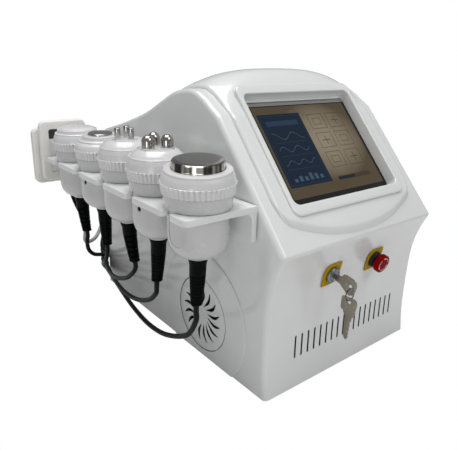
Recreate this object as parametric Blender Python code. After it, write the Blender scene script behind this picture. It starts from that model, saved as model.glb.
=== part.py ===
"""Desktop body-care machine: a white moulded console with a sloped touch screen, a key switch, an
emergency stop, a side fan and a side shelf that holds six handpieces on leads.

Metres, +Z up. The machine is laid out from the front bottom edge of its left side: X runs to the
right, Y to the back and Z up. The finished assembly is then moved so that its origin is at the
bottom centre of all its pieces but the leads.
"""
import bpy
import bmesh
from math import pi, sin, cos, tan, asin, atan2, hypot, sqrt, radians
from mathutils import Vector, Matrix

# General clearances and overruns
GAP = 0.0003                 # between pieces that touch
OVERRUN = 0.002              # how far a cutter runs past the face it cuts

# Widths across the machine, from the screen opening out to its sides
OPENING_WIDTH = 0.225
BEZEL_SIDE_BORDER = 0.0085
SURROUND_SIDE_BORDER = 0.023
SURROUND_MARGIN = 0.021      # from the machine's side to the surround's side
BEZEL_WIDTH = OPENING_WIDTH + 2 * BEZEL_SIDE_BORDER
BODY_WIDTH = BEZEL_WIDTH + 2 * (SURROUND_SIDE_BORDER + SURROUND_MARGIN)

# Housing
BODY_DEPTH = 0.480
CHIN_HEIGHT = 0.2175
CREST_ABOVE_CHIN = 0.1908
CREST_FALL = 0.0883          # from the crest down to the rear top edge
CREST_HEIGHT = CHIN_HEIGHT + CREST_ABOVE_CHIN
REAR_TOP_HEIGHT = CREST_HEIGHT - CREST_FALL
CREST_RISE_RUN = 0.0695      # from the slope's end back to the crest
REAR_LEAN = 0.010            # how far the rear top edge lies ahead of the rear bottom edge
CHIN_OVERHANG = 0.0197
CHIN_RADIUS = 0.006
SLOPE_ANGLE = radians(49.45)
SLOPE_LENGTH = 0.208
SHELL_WALL = 0.004
SIDE_EDGE_RADIUS = 0.009
# Lower front from the bottom edge to the chin, as shares of the overhang and of the chin's height
FRONT_CURVE_SHARES = ((0, 0), (0.20, 0.156), (0.25, 0.30), (0.23, 0.48), (0.16, 0.65), (-0.03, 0.77),
                      (-0.32, 0.86), (-0.62, 0.933))
# Slope's end to the crest, as shares of that run and of the crest's fall over the rear top edge
CREST_RISE_SHARES = ((0.255, 0.760), (0.490, 0.880), (0.755, 0.973), (1.0, 1.0))
# Crest to the rear top edge, as shares of that run and of the same fall
CREST_FALL_SHARES = ((0.072, 0.981), (0.148, 0.927), (0.218, 0.838), (0.303, 0.714), (0.403, 0.565),
                     (0.502, 0.445), (0.627, 0.320), (0.776, 0.180), (0.913, 0.070))

# Vent slots in the lower front
VENT_COUNT = 18
VENT_PITCH = 0.0132
VENT_WIDTH = 0.0026
VENT_HEIGHT = 0.036
VENT_MIDDLE_HEIGHT = 0.063
VENT_SHIFT = 0.006           # the row sits this far right of the middle

# Round pad and fan in the left side
FAN_Y = 0.147
FAN_Z = 0.071
PAD_RADIUS = 0.104
PAD_RISE = 0.002
PAD_CHAMFER = 0.0015
GRILLE_RADIUS = 0.0595
GRILLE_THICKNESS = 0.003
GRILLE_CLEARANCE = 0.0004
GRILLE_LEDGE = 0.009
SWIRL_COUNT = 16
SWIRL_INNER_RADIUS = 0.016
SWIRL_OUTER_RADIUS = 0.044
SWIRL_WIDTH = 0.0046
SWIRL_TURN = radians(38)
FAN_SIZE = 0.092
FAN_DEPTH = 0.0254
FAN_BORE_RADIUS = 0.0435
FAN_CORNER_RADIUS = 0.005
FAN_MOTOR_RADIUS = 0.019
FAN_SPOKE_WIDTH = 0.005
FAN_SPOKE_THICKNESS = 0.003
FAN_BLADE_COUNT = 7
FAN_TIP_CLEARANCE = 0.0012
FAN_BLADE_THICKNESS = 0.0016
FAN_BLADE_PITCH = radians(38)
FAN_END_CLEARANCE = 0.0006

# Screen surround and hump
SURROUND_RISE = 0.005
SURROUND_ROUND = 0.005       # radius of its upper edge
SURROUND_BOTTOM = 0.0075     # lowest point of its lower arc, up the slope from the chin
SURROUND_ARC_RISE = 0.038
SURROUND_CORNER_WIDTH = 0.0144
SURROUND_CORNER_HEIGHT = 0.034
SURROUND_WALL = 0.004
HUMP_RISE = 0.0225
HUMP_BLEND = 0.014
HUMP_FLAT_LENGTH = 0.020     # level run behind the crest before the hump falls away
HUMP_POWER = 3.0

# Screen bezel, glass and display
OPENING_HEIGHT = 0.1755
OPENING_RADIUS = 0.010
BEZEL_END_BORDER = 0.01575
BEZEL_HEIGHT = OPENING_HEIGHT + 2 * BEZEL_END_BORDER
BEZEL_RADIUS = 0.014
BEZEL_MIDDLE = 0.150         # up the slope from the chin
BEZEL_PROUD = 0.003
BEZEL_REBATE = 0.003
BEZEL_EDGE = 0.002
BEZEL_INNER_EDGE = 0.0015
SLEEVE_WALL = 0.0026
SLEEVE_DEPTH = 0.014
GLASS_THICKNESS = 0.0022
GLASS_MARGIN = 0.0026
DISPLAY_THICKNESS = 0.009
DISPLAY_INSET = 0.002

# Controls on the lower front
CONTROL_HEIGHT = 0.1625
CONTROL_SPREAD = 0.097       # between the key switch and the emergency stop
PLATE_SIZE = 0.0345
PLATE_THICKNESS = 0.0012
PLATE_ROUND = 0.0125
PLATE_TIP = 0.0012
ESTOP_BARREL_RADIUS = 0.0078
ESTOP_BARREL_LENGTH = 0.030
ESTOP_COLLAR_RADIUS = 0.0112
ESTOP_COLLAR_LENGTH = 0.0050
ESTOP_HEAD_RADIUS = 0.0142
ESTOP_HEAD_LENGTH = 0.0085
ESTOP_HEAD_EDGE = 0.0028
ESTOP_TRAVEL = 0.003
ESTOP_TRAVEL_ROOM = 0.0006
STEM_RADIUS = 0.0030
STEM_CLEARANCE = 0.0001
STEM_SOCKET_DEPTH = 0.0050
STEM_INNER_LENGTH = 0.020
LOCK_RING_RADIUS = 0.0125
LOCK_RING_LENGTH = 0.0048
LOCK_RING_CHAMFER = 0.0018
LOCK_BARREL_RADIUS = 0.0088
LOCK_BARREL_LENGTH = 0.026
CYLINDER_RADIUS = 0.0066
CYLINDER_CLEARANCE = 0.0001
CYLINDER_LENGTH = 0.022
CYLINDER_PROUD = 0.0010
KEYWAY_WIDTH = 0.0026
KEYWAY_HEIGHT = 0.0082
KEYWAY_DEPTH = 0.0205

# Keys and ring
KEY_THICKNESS = 0.0020
KEY_BLADE_WIDTH = 0.0074
KEY_BLADE_LENGTH = 0.0225
KEY_INSERTED = 0.0190
KEY_NECK_LENGTH = 0.0085
KEY_BOW_LENGTH = 0.026
KEY_BOW_WIDTH = 0.0255
KEY_HOLE_RADIUS = 0.0030
KEY_HOLE_FROM_END = 0.0085
KEY_NOTCH_DEPTH = 0.0014
KEY_NOTCH_COUNT = 4
SPARE_STRETCH = 0.010        # the spare key is a longer pattern
RING_RADIUS = 0.0092
RING_WIRE_RADIUS = 0.0008

# Base, feet, rear panel
BASE_THICKNESS = 0.002
BASE_LIP = 0.010
FOOT_RADIUS = 0.0125
FOOT_HEIGHT = 0.005
FOOT_TAPER = 0.0015
FOOT_INSET = 0.040
FOOT_STUD_RADIUS = 0.0035
REAR_PANEL_THICKNESS = 0.002
REAR_PANEL_INSET = 0.004
INLET_WIDTH = 0.048
INLET_HEIGHT = 0.028
INLET_FLANGE = 0.003
INLET_BODY_DEPTH = 0.022
INLET_FLANGE_THICKNESS = 0.003
INLET_CAVITY_DEPTH = 0.016
INLET_CAVITY_MARGIN = 0.004
INLET_FROM_RIGHT = 0.065
INLET_X = BODY_WIDTH - INLET_FROM_RIGHT
INLET_Z = 0.052
BLADE_PIN_WIDTH = 0.004
SWITCH_WIDTH = 0.019
SWITCH_HEIGHT = 0.027
SWITCH_Z = 0.104
SWITCH_FRAME = 0.0025
SWITCH_DEPTH = 0.014
ROCKER_CLEARANCE = 0.0005
ROCKER_PROUD = 0.0035
ROCKER_ANGLE = radians(9)
ROCKER_LEAN = 0.0018         # of its raised end, inwards, so that it clears the frame as it tips
SOCKET_RADIUS = 0.0092
SOCKET_BORE_RADIUS = 0.0062
SOCKET_LENGTH = 0.006
SOCKET_X = 0.060
SOCKET_LOWEST = 0.034
SOCKET_PITCH = 0.0215
REAR_VENT_COUNT = 6
REAR_VENT_PITCH = 0.0150
REAR_VENT_WIDTH = 0.090
REAR_VENT_HEIGHT = 0.004
REAR_VENT_FROM_INLET = 0.075
REAR_VENT_X = INLET_X - REAR_VENT_FROM_INLET
REAR_VENT_LOWEST = 0.165

# Pieces inside
SUPPLY_SIZE = (0.098, 0.199, 0.040)
SUPPLY_FROM_RIGHT = 0.088
SUPPLY_FROM_REAR = 0.220
SUPPLY_X = BODY_WIDTH - SUPPLY_FROM_RIGHT
SUPPLY_Y = BODY_DEPTH - SUPPLY_FROM_REAR
BOARD_LEFT = 0.060
BOARD_SUPPLY_GAP = 0.013
BOARD_LENGTH = 0.170
BOARD_THICKNESS = 0.0016
BOARD_STANDOFF = 0.008
BOARD_FROM_REAR = 0.160
BOARD_WIDTH = SUPPLY_X - SUPPLY_SIZE[0] / 2 - BOARD_SUPPLY_GAP - BOARD_LEFT
BOARD_X = BOARD_LEFT + BOARD_WIDTH / 2
BOARD_Y = BODY_DEPTH - BOARD_FROM_REAR
STANDOFF_RADIUS = 0.003
STANDOFF_INSET = 0.006
BOARD_BLOCK_HEIGHT = 0.018
BOARD_BLOCK_SIZE = 0.040

# Shelf
SHELF_TOP = 0.275
SHELF_THICKNESS = 0.0078
SHELF_REACH = 0.111
SHELF_FRONT = 0.028
SHELF_FLANGE_HEIGHT = 0.047
SHELF_FLANGE_THICKNESS = 0.008
SHELF_FLANGE_END = 0.462
SHELF_FILLET = 0.010
SHELF_CORNER = 0.009
SHELF_INNER_SETBACK = 0.018  # how far the rear extension stays off the housing
PRONG_RADIUS = 0.005
LEAD_SLOT_WIDTH = 0.0165
SHELF_TAIL = 0.035           # past the middle of the sixth handpiece

# Round handpieces: place along the side, collar and seat radii
HAND_X = (-0.0620, -0.0655, -0.0660, -0.0655, -0.0685)
HAND_Y = (0.072, 0.164, 0.253, 0.342, 0.431)
COLLAR_RADIUS = (0.0485, 0.0432, 0.0432, 0.0432, 0.0432)
SEAT_RADIUS = (0.0400, 0.0362, 0.0362, 0.0362, 0.0362)
SEAT_CLEARANCE = 0.0010
HAND_NECK_HEIGHT = 0.206
HAND_NECK_RADIUS = 0.0135
HAND_BULB_HEIGHT = 0.240     # where the bulb is widest
HAND_BULB_FULLNESS = 0.80    # power of its rounding: 1 is an ellipse, less is fuller
COLLAR_BOTTOM = 0.2932
COLLAR_TOP = 0.3080
CAP_TOP = 0.3215
CAP_WALL = 0.0045
FLUTE_COUNT = 20
FLUTE_DEPTH = 0.0016
DISC_CLEARANCE = 0.0004
HAND_LIFT = 0.145

# Strain reliefs and leads
RELIEF_LENGTH = 0.0660
RELIEF_TOP_RADIUS = 0.0130
RELIEF_WAIST_RADIUS = 0.0108
RELIEF_END_RADIUS = 0.0082
RELIEF_FLARE = 0.007
RELIEF_PLAIN_SHARE = 0.42
RIB_DEPTH = 0.0017
RIB_COUNT = 4
LEAD_RADIUS = 0.0038
PLUG_RADIUS = 0.0080
PLUG_LENGTH = 0.026
PLUG_NECK = 0.004

# Sixth handpiece: a flat paddle in a slot at the shelf's end
PADDLE_X = -0.075
PADDLE_Y = 0.494
PADDLE_WIDTH = 0.086
PADDLE_HEIGHT = 0.108
PADDLE_NECK_LENGTH = 0.025
PADDLE_BOTTOM = HAND_NECK_HEIGHT + PADDLE_NECK_LENGTH
PADDLE_RADIUS = 0.011
PADDLE_FRAME_DEPTH = 0.012
PADDLE_BACK_DEPTH = 0.013
PADDLE_BACK_SHIFT = 0.009
PADDLE_BACK_DROP = 0.014
PADDLE_JOINT_GAP = 0.0032
PADDLE_EDGE = 0.003
PADDLE_DEPTH = PADDLE_FRAME_DEPTH + PADDLE_JOINT_GAP + PADDLE_BACK_DEPTH
PADDLE_LUG_LENGTH = 0.0045   # how far the resting lugs stand out, front and back
PADDLE_LUG_WIDTH = 0.030
PADDLE_LUG_HEIGHT = 0.007
WINDOW_BORDER = 0.015
WINDOW_DEPTH = 0.004
PADDLE_NECK_X = -0.0580
PADDLE_NECK_WIDTH = 0.030
PADDLE_NECK_DEPTH = 0.018
PADDLE_LIFT = 0.130

# Facet counts
LATHE_SIDES = 20
ROD_SIDES = 8
CORNER_STEPS = 3
DISC_SIDES = 32
RING_STEPS = 18
WIRE_SIDES = 6

# Routes of the leads, chosen by hand: from under each strain relief to the plug behind the panel
LEAD_ROUTES = {
    1: ((-0.0620, 0.074, 0.112), (-0.0610, 0.100, 0.078), (-0.0600, 0.158, 0.050), (-0.0560, 0.216, 0.038),
        (-0.0480, 0.279, 0.035), (-0.0360, 0.345, 0.034), (-0.0210, 0.415, 0.032), (-0.0085, 0.474, 0.030)),
    2: ((-0.0655, 0.169, 0.116), (-0.0635, 0.196, 0.094), (-0.0610, 0.240, 0.074), (-0.0550, 0.290, 0.061),
        (-0.0430, 0.350, 0.051), (-0.0260, 0.415, 0.044), (-0.0085, 0.474, 0.0385)),
    3: ((-0.0660, 0.258, 0.118), (-0.0630, 0.282, 0.098), (-0.0560, 0.325, 0.079), (-0.0430, 0.380, 0.063),
        (-0.0270, 0.430, 0.053), (-0.0085, 0.474, 0.047)),
    4: ((-0.0655, 0.345, 0.118), (-0.0620, 0.360, 0.099), (-0.0510, 0.392, 0.080), (-0.0310, 0.437, 0.065),
        (-0.0085, 0.474, 0.0555)),
    5: ((-0.0685, 0.433, 0.116), (-0.0620, 0.438, 0.097), (-0.0460, 0.448, 0.081), (-0.0270, 0.461, 0.071),
        (-0.0085, 0.475, 0.064)),
    6: ((-0.0560, 0.496, 0.111), (-0.0480, 0.501, 0.093), (-0.0290, 0.510, 0.084), (-0.0070, 0.522, 0.088)),
}
LEAD_CORNER_POINTS = ((-0.003, 0.506), (0.020, 0.533))
LEAD_LAST_POINT = (0.050, 0.531)
LEAD_STEP = 0.021

MATERIALS = {
    "white_shell": ((0.80, 0.81, 0.81), 0.28, 0.0),
    "white_cap": ((0.82, 0.82, 0.83), 0.30, 0.0),
    "white_shelf": ((0.80, 0.82, 0.80), 0.40, 0.0),
    "ivory_plastic": ((0.74, 0.73, 0.69), 0.40, 0.0),
    "dark_glass": ((0.04, 0.04, 0.05), 0.05, 0.0),
    "display": ((0.25, 0.20, 0.14), 0.30, 0.0),
    "chrome": ((0.62, 0.62, 0.62), 0.10, 1.0),
    "steel": ((0.45, 0.46, 0.47), 0.35, 1.0),
    "key_metal": ((0.33, 0.31, 0.28), 0.35, 1.0),
    "red_plastic": ((0.50, 0.01, 0.01), 0.30, 0.0),
    "black_plastic": ((0.02, 0.02, 0.02), 0.40, 0.0),
    "black_rubber": ((0.012, 0.014, 0.014), 0.55, 0.0),
    "grey_rubber": ((0.60, 0.60, 0.56), 0.50, 0.0),
    "yellow_plate": ((0.60, 0.38, 0.02), 0.45, 0.0),
    "board_green": ((0.02, 0.16, 0.07), 0.50, 0.0),
}


# Helpers

def material(name):
    """The named material, made at its first use."""
    found = bpy.data.materials.get(name)
    if found:
        return found
    colour, roughness, metallic = MATERIALS[name]
    made = bpy.data.materials.new(name)
    made.use_nodes = True
    shader = made.node_tree.nodes["Principled BSDF"]
    shader.inputs["Base Color"].default_value = (*colour, 1)
    shader.inputs["Roughness"].default_value = roughness
    shader.inputs["Metallic"].default_value = metallic
    return made


def piece(name, bm, finish, parent, smooth=35):
    """Turn a bmesh into a named object under its parent."""
    mesh = bpy.data.meshes.new(name)
    bmesh.ops.recalc_face_normals(bm, faces=bm.faces)
    bm.to_mesh(mesh)
    bm.free()
    mesh.materials.append(material(finish))
    mesh.shade_smooth()
    mesh.set_sharp_from_angle(angle=radians(smooth))
    made = bpy.data.objects.new(name, mesh)
    bpy.context.scene.collection.objects.link(made)
    made.parent = parent
    return made


def empty(name, parent, place=(0, 0, 0), turn=None):
    """An empty that carries pieces which share a frame."""
    made = bpy.data.objects.new(name, None)
    bpy.context.scene.collection.objects.link(made)
    made.parent = parent
    made.location = place
    if turn:
        made.rotation_euler = turn
    return made


def cut(target, bm, name, operation="DIFFERENCE", solver="EXACT"):
    """Cut a bmesh out of a piece, or join it on, with a live Boolean."""
    cutter = piece(name, bm, "steel", target.parent)
    cutter.location = target.location
    cutter.hide_render = True
    cutter.display_type = "WIRE"
    step = target.modifiers.new(name, "BOOLEAN")
    step.operation = operation
    step.object = cutter
    step.solver = solver


def ring_of(bm, points):
    return [bm.verts.new(p) for p in points]


def bridge(bm, first, second):
    """Quads between two closed rings with as many points."""
    count = len(first)
    for i in range(count):
        j = (i + 1) % count
        bm.faces.new((first[i], first[j], second[j], second[i]))


def loft(rings, bm=None, closed=False):
    """A solid through rings of points: capped at both ends, or closed on itself."""
    bm = bm or bmesh.new()
    made = [ring_of(bm, ring) for ring in rings]
    for first, second in zip(made, made[1:]):
        bridge(bm, first, second)
    if closed:
        bridge(bm, made[-1], made[0])
    else:
        bm.faces.new(list(reversed(made[0])))
        bm.faces.new(made[-1])
    return bm


def prism(outline, place, bm=None):
    """A flat outline of (a, b) pairs extruded between two levels; place(a, b, level) gives the point."""
    low, high = place[1], place[2]
    put = place[0]
    return loft([[put(a, b, low) for a, b in outline], [put(a, b, high) for a, b in outline]], bm)


def across(a, b, level):
    """Outline in Y and Z, level along X."""
    return (level, a, b)


def upward(a, b, level):
    """Outline in X and Y, level along Z."""
    return (a, b, level)


def backward(a, b, level):
    """Outline in X and Z, level along Y."""
    return (a, level, b)


def outward(a, b, level):
    """Outline in local X and Y of a control or screen frame, level along its normal."""
    return (a, b, level)


def circle(radius, sides, a=0.0, b=0.0):
    return [(a + radius * cos(2 * pi * i / sides), b + radius * sin(2 * pi * i / sides))
            for i in range(sides)]


def arc(a, b, radius, start, end, steps):
    return [(a + radius * cos(start + (end - start) * i / steps),
             b + radius * sin(start + (end - start) * i / steps)) for i in range(steps + 1)]


def rounded_rectangle(width, height, radius, steps=CORNER_STEPS, a=0.0, b=0.0):
    points = []
    for quarter, (sa, sb) in enumerate(((1, 1), (-1, 1), (-1, -1), (1, -1))):
        points += arc(a + sa * (width / 2 - radius), b + sb * (height / 2 - radius), radius,
                      quarter * pi / 2, (quarter + 1) * pi / 2, steps)
    return points


def lathe(profile, sides=LATHE_SIDES, bm=None, centre=(0.0, 0.0)):
    """Turn a profile of (radius, height) pairs about Z. It starts and ends on the axis, or closes on itself."""
    bm = bm or bmesh.new()
    cx, cy = centre
    closed = profile[0][0] > 0
    rings = []
    for radius, height in profile:
        if radius == 0:
            rings.append([bm.verts.new((cx, cy, height))])
        else:
            rings.append(ring_of(bm, [(x, y, height) for x, y in circle(radius, sides, cx, cy)]))
    pairs = list(zip(rings, rings[1:]))
    if closed:
        pairs.append((rings[-1], rings[0]))
    for first, second in pairs:
        if len(first) > 1 and len(second) > 1:
            bridge(bm, first, second)
            continue
        tip, wide = (first[0], second) if len(first) == 1 else (second[0], first)
        for i in range(len(wide)):
            bm.faces.new((tip, wide[i], wide[(i + 1) % len(wide)]))
    return bm


def round_corner(before, corner, after, radius, steps):
    """Points of an arc that rounds a corner of an outline."""
    v0 = Vector(before) - Vector(corner)
    v1 = Vector(after) - Vector(corner)
    half = v0.angle(v1) / 2
    run = radius / tan(half)
    start = Vector(corner) + v0.normalized() * run
    middle = Vector(corner) + (v0.normalized() + v1.normalized()).normalized() * (radius / sin(half))
    first = (start - middle).angle_signed(Vector((1, 0)))
    turn = (Vector(corner) + v1.normalized() * run - middle).angle_signed(start - middle)
    return [(middle.x + radius * cos(first + turn * i / steps),
             middle.y + radius * sin(first + turn * i / steps)) for i in range(steps + 1)]


# Side outline of the machine

def slope_point(t):
    """Point (y, z) on the slope's plane, t up from the chin."""
    return (-CHIN_OVERHANG + t * cos(SLOPE_ANGLE), CHIN_HEIGHT + t * sin(SLOPE_ANGLE))


SLOPE_END_Y, SLOPE_END_Z = slope_point(SLOPE_LENGTH)
REAR_TOP_Y = BODY_DEPTH - REAR_LEAN


def crest_points():
    """Outline from the slope's end over the crest to the rear top edge."""
    crest_y = SLOPE_END_Y + CREST_RISE_RUN
    points = [(SLOPE_END_Y, SLOPE_END_Z)]
    points += [(SLOPE_END_Y + a * CREST_RISE_RUN, REAR_TOP_HEIGHT + b * CREST_FALL) for a, b in CREST_RISE_SHARES]
    points += [(crest_y + a * (REAR_TOP_Y - crest_y), REAR_TOP_HEIGHT + b * CREST_FALL) for a, b in CREST_FALL_SHARES]
    return points + [(REAR_TOP_Y, REAR_TOP_HEIGHT)]


def front_points():
    return [(a * CHIN_OVERHANG, b * CHIN_HEIGHT) for a, b in FRONT_CURVE_SHARES]


def side_outline():
    """Front bottom edge, up the front, over the chin, slope and crest, down to the rear bottom edge."""
    front = front_points()
    chin = round_corner(front[-1], (-CHIN_OVERHANG, CHIN_HEIGHT), (SLOPE_END_Y, SLOPE_END_Z),
                        CHIN_RADIUS, 3)
    return front + chin + crest_points() + [(BODY_DEPTH, 0.0)]


def height_on(points, y):
    """Height of an outline that runs back, at y."""
    for (y0, z0), (y1, z1) in zip(points, points[1:]):
        if y0 <= y <= y1:
            return z0 + (z1 - z0) * (y - y0) / (y1 - y0)
    return points[-1][1]


def depth_on_front(z):
    """Y of the lower front at height z."""
    points = front_points() + [(-CHIN_OVERHANG, CHIN_HEIGHT)]
    for (y0, z0), (y1, z1) in zip(points, points[1:]):
        if z0 <= z <= z1:
            return y0 + (y1 - y0) * (z - z0) / (z1 - z0)
    return points[-1][0]


def skin_height(y):
    return height_on([slope_point(0)] + crest_points(), y)


# Housing

def housing(parent):
    """Thin shell with rounded side edges, open below and behind, with its cut-outs."""
    outline = side_outline()
    bm = bmesh.new()
    left = ring_of(bm, [(0.0, y, z) for y, z in outline])
    right = ring_of(bm, [(BODY_WIDTH, y, z) for y, z in outline])
    for i in range(len(outline) - 1):
        if outline[i] != (REAR_TOP_Y, REAR_TOP_HEIGHT):
            bm.faces.new((left[i], left[i + 1], right[i + 1], right[i]))
    bm.faces.new(left)
    bm.faces.new(list(reversed(right)))
    bmesh.ops.recalc_face_normals(bm, faces=bm.faces)
    edges = [e for side in (left, right) for a, b in zip(side, side[1:-1]) for e in a.link_edges
             if b in e.verts]
    bmesh.ops.bevel(bm, geom=edges, offset=SIDE_EDGE_RADIUS, offset_type="OFFSET", segments=3,
                    profile=0.5, affect="EDGES")
    shell = piece("housing", bm, "white_shell", parent)
    skin = shell.modifiers.new("wall", "SOLIDIFY")
    skin.thickness = SHELL_WALL
    skin.offset = -1
    skin.use_even_offset = True
    cut(shell, side_pad(), "side_pad", "UNION", "MANIFOLD")
    cut(shell, fan_seat(), "fan_seat_cutter", solver="MANIFOLD")
    cut(shell, front_vents(), "vent_cutter", solver="MANIFOLD")
    cut(shell, screen_hole(), "screen_cutter", solver="MANIFOLD")
    cut(shell, control_holes(), "control_cutter", solver="MANIFOLD")
    return shell


def side_pad():
    """Shallow round pad round the fan, cut off at the machine's bottom edge."""
    def outline(radius, base):
        reach = sqrt(radius ** 2 - (FAN_Z - base) ** 2)
        low = atan2(base - FAN_Z, reach)
        return arc(FAN_Y, FAN_Z, radius, low, pi - low, 28)
    wall = SHELL_WALL - OVERRUN
    return loft([[(wall, y, z) for y, z in outline(PAD_RADIUS, GAP)],
                 [(PAD_CHAMFER - PAD_RISE, y, z) for y, z in outline(PAD_RADIUS, GAP)],
                 [(-PAD_RISE, y, z) for y, z in outline(PAD_RADIUS - PAD_CHAMFER, GAP)]])


def fan_seat():
    """Stepped hole: the grille sits in the wide part, on the ledge."""
    outer = -PAD_RISE - OVERRUN
    step = -PAD_RISE + GRILLE_THICKNESS + GAP
    inner = SHELL_WALL + OVERRUN
    seat = circle(GRILLE_RADIUS + GRILLE_CLEARANCE, DISC_SIDES, FAN_Y, FAN_Z)
    bore = circle(GRILLE_RADIUS - GRILLE_LEDGE, DISC_SIDES, FAN_Y, FAN_Z)
    return loft([[across(a, b, outer) for a, b in seat], [across(a, b, step) for a, b in seat],
                 [across(a, b, step) for a, b in bore], [across(a, b, inner) for a, b in bore]])


def front_vents():
    bm = bmesh.new()
    low = VENT_MIDDLE_HEIGHT - VENT_HEIGHT / 2
    first = BODY_WIDTH / 2 + VENT_SHIFT - VENT_PITCH * (VENT_COUNT - 1) / 2
    front = -CHIN_OVERHANG - OVERRUN
    back = CHIN_OVERHANG + SHELL_WALL
    for i in range(VENT_COUNT):
        slot = rounded_rectangle(VENT_WIDTH, VENT_HEIGHT, VENT_WIDTH / 2, 1,
                                 first + i * VENT_PITCH, low + VENT_HEIGHT / 2)
        prism(slot, (backward, front, back), bm)
    return bm


def to_slope(points, level):
    """Points of the slope's frame (x, t about the bezel's middle) at a level over the raised face."""
    ny, nz = -sin(SLOPE_ANGLE), cos(SLOPE_ANGLE)
    placed = []
    for a, b in points:
        y, z = slope_point(BEZEL_MIDDLE + b)
        placed.append((BODY_WIDTH / 2 + a, y + ny * (level + SURROUND_RISE), z + nz * (level + SURROUND_RISE)))
    return placed


def sleeve_outline(extra):
    return rounded_rectangle(OPENING_WIDTH + 2 * (SLEEVE_WALL + extra), OPENING_HEIGHT + 2 * (SLEEVE_WALL + extra),
                             OPENING_RADIUS + SLEEVE_WALL + extra)


def screen_hole():
    outline = sleeve_outline(GAP)
    depth = SLEEVE_DEPTH + GLASS_THICKNESS + DISPLAY_THICKNESS + 2 * OVERRUN
    return loft([to_slope(outline, -depth), to_slope(outline, OVERRUN)])


def control_frame(x):
    """Place and turn of a control's frame: its Z is the outward normal of the lower front there."""
    low = CONTROL_HEIGHT - PLATE_SIZE / 2
    high = CONTROL_HEIGHT + PLATE_SIZE / 2
    tilt = atan2(depth_on_front(low) - depth_on_front(high), PLATE_SIZE)
    y = (depth_on_front(low) + depth_on_front(high)) / 2
    return (x, y, CONTROL_HEIGHT), (pi / 2 + tilt, 0.0, 0.0)


KEY_X = BODY_WIDTH / 2 - CONTROL_SPREAD / 2
ESTOP_X = BODY_WIDTH / 2 + CONTROL_SPREAD / 2


def in_control_frame(x, bm):
    place, turn = control_frame(x)
    matrix = Matrix.Translation(place) @ Matrix.Rotation(turn[0], 4, "X")
    bmesh.ops.transform(bm, matrix=matrix, verts=bm.verts)
    return bm


def control_holes():
    depth = 4 * SHELL_WALL
    bm = in_control_frame(KEY_X, prism(circle(LOCK_BARREL_RADIUS + GAP, LATHE_SIDES), (outward, -depth, depth)))
    stop = in_control_frame(ESTOP_X, prism(circle(ESTOP_BARREL_RADIUS + GAP, LATHE_SIDES), (outward, -depth, depth)))
    mesh = bpy.data.meshes.new("stop_hole")
    stop.to_mesh(mesh)
    stop.free()
    bm.from_mesh(mesh)
    bpy.data.meshes.remove(mesh)
    return bm


# Screen surround, bezel, glass and display

def surround_bottom(x):
    """How far up the slope the surround's lower edge lies at x."""
    half = BODY_WIDTH / 2 - SURROUND_MARGIN
    u = abs(x - BODY_WIDTH / 2) / half
    base = SURROUND_BOTTOM + SURROUND_ARC_RISE * u ** 2.2
    inner = half - SURROUND_CORNER_WIDTH
    past = max(0.0, (u * half - inner) / SURROUND_CORNER_WIDTH)
    return base + SURROUND_CORNER_HEIGHT * (1 - sqrt(max(0.0, 1 - past ** 2)))


def surround_top(x, y, edge):
    """Outer height of the surround: the raised slope, then the hump, smoothly joined."""
    half = BODY_WIDTH / 2 - SURROUND_MARGIN
    u = min(1.0, abs(x - BODY_WIDTH / 2) / half)
    points = crest_points()
    crest_y = max(points, key=lambda p: p[1])[0]
    rear_y = surround_rear()
    rise = SURROUND_RISE * edge
    plane = CHIN_HEIGHT + (y + CHIN_OVERHANG) * tan(SLOPE_ANGLE) + rise / cos(SLOPE_ANGLE)
    if y <= SLOPE_END_Y:
        return plane
    level_end = crest_y + HUMP_FLAT_LENGTH
    fade = 1.0 if y < level_end else 0.5 + 0.5 * cos(pi * min(1.0, (y - level_end) / (rear_y - level_end)))
    cap = skin_height(y) + rise + HUMP_RISE * (1 - u ** HUMP_POWER) * fade
    near = max(HUMP_BLEND - abs(plane - cap), 0.0) / HUMP_BLEND
    blended = min(plane, cap) - near * near * HUMP_BLEND / 4
    return max(blended, skin_height(y) + rise)


def surround_rear():
    """Y of the surround's rear edge: a point of the crest's own outline."""
    return crest_points()[10][0]


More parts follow.
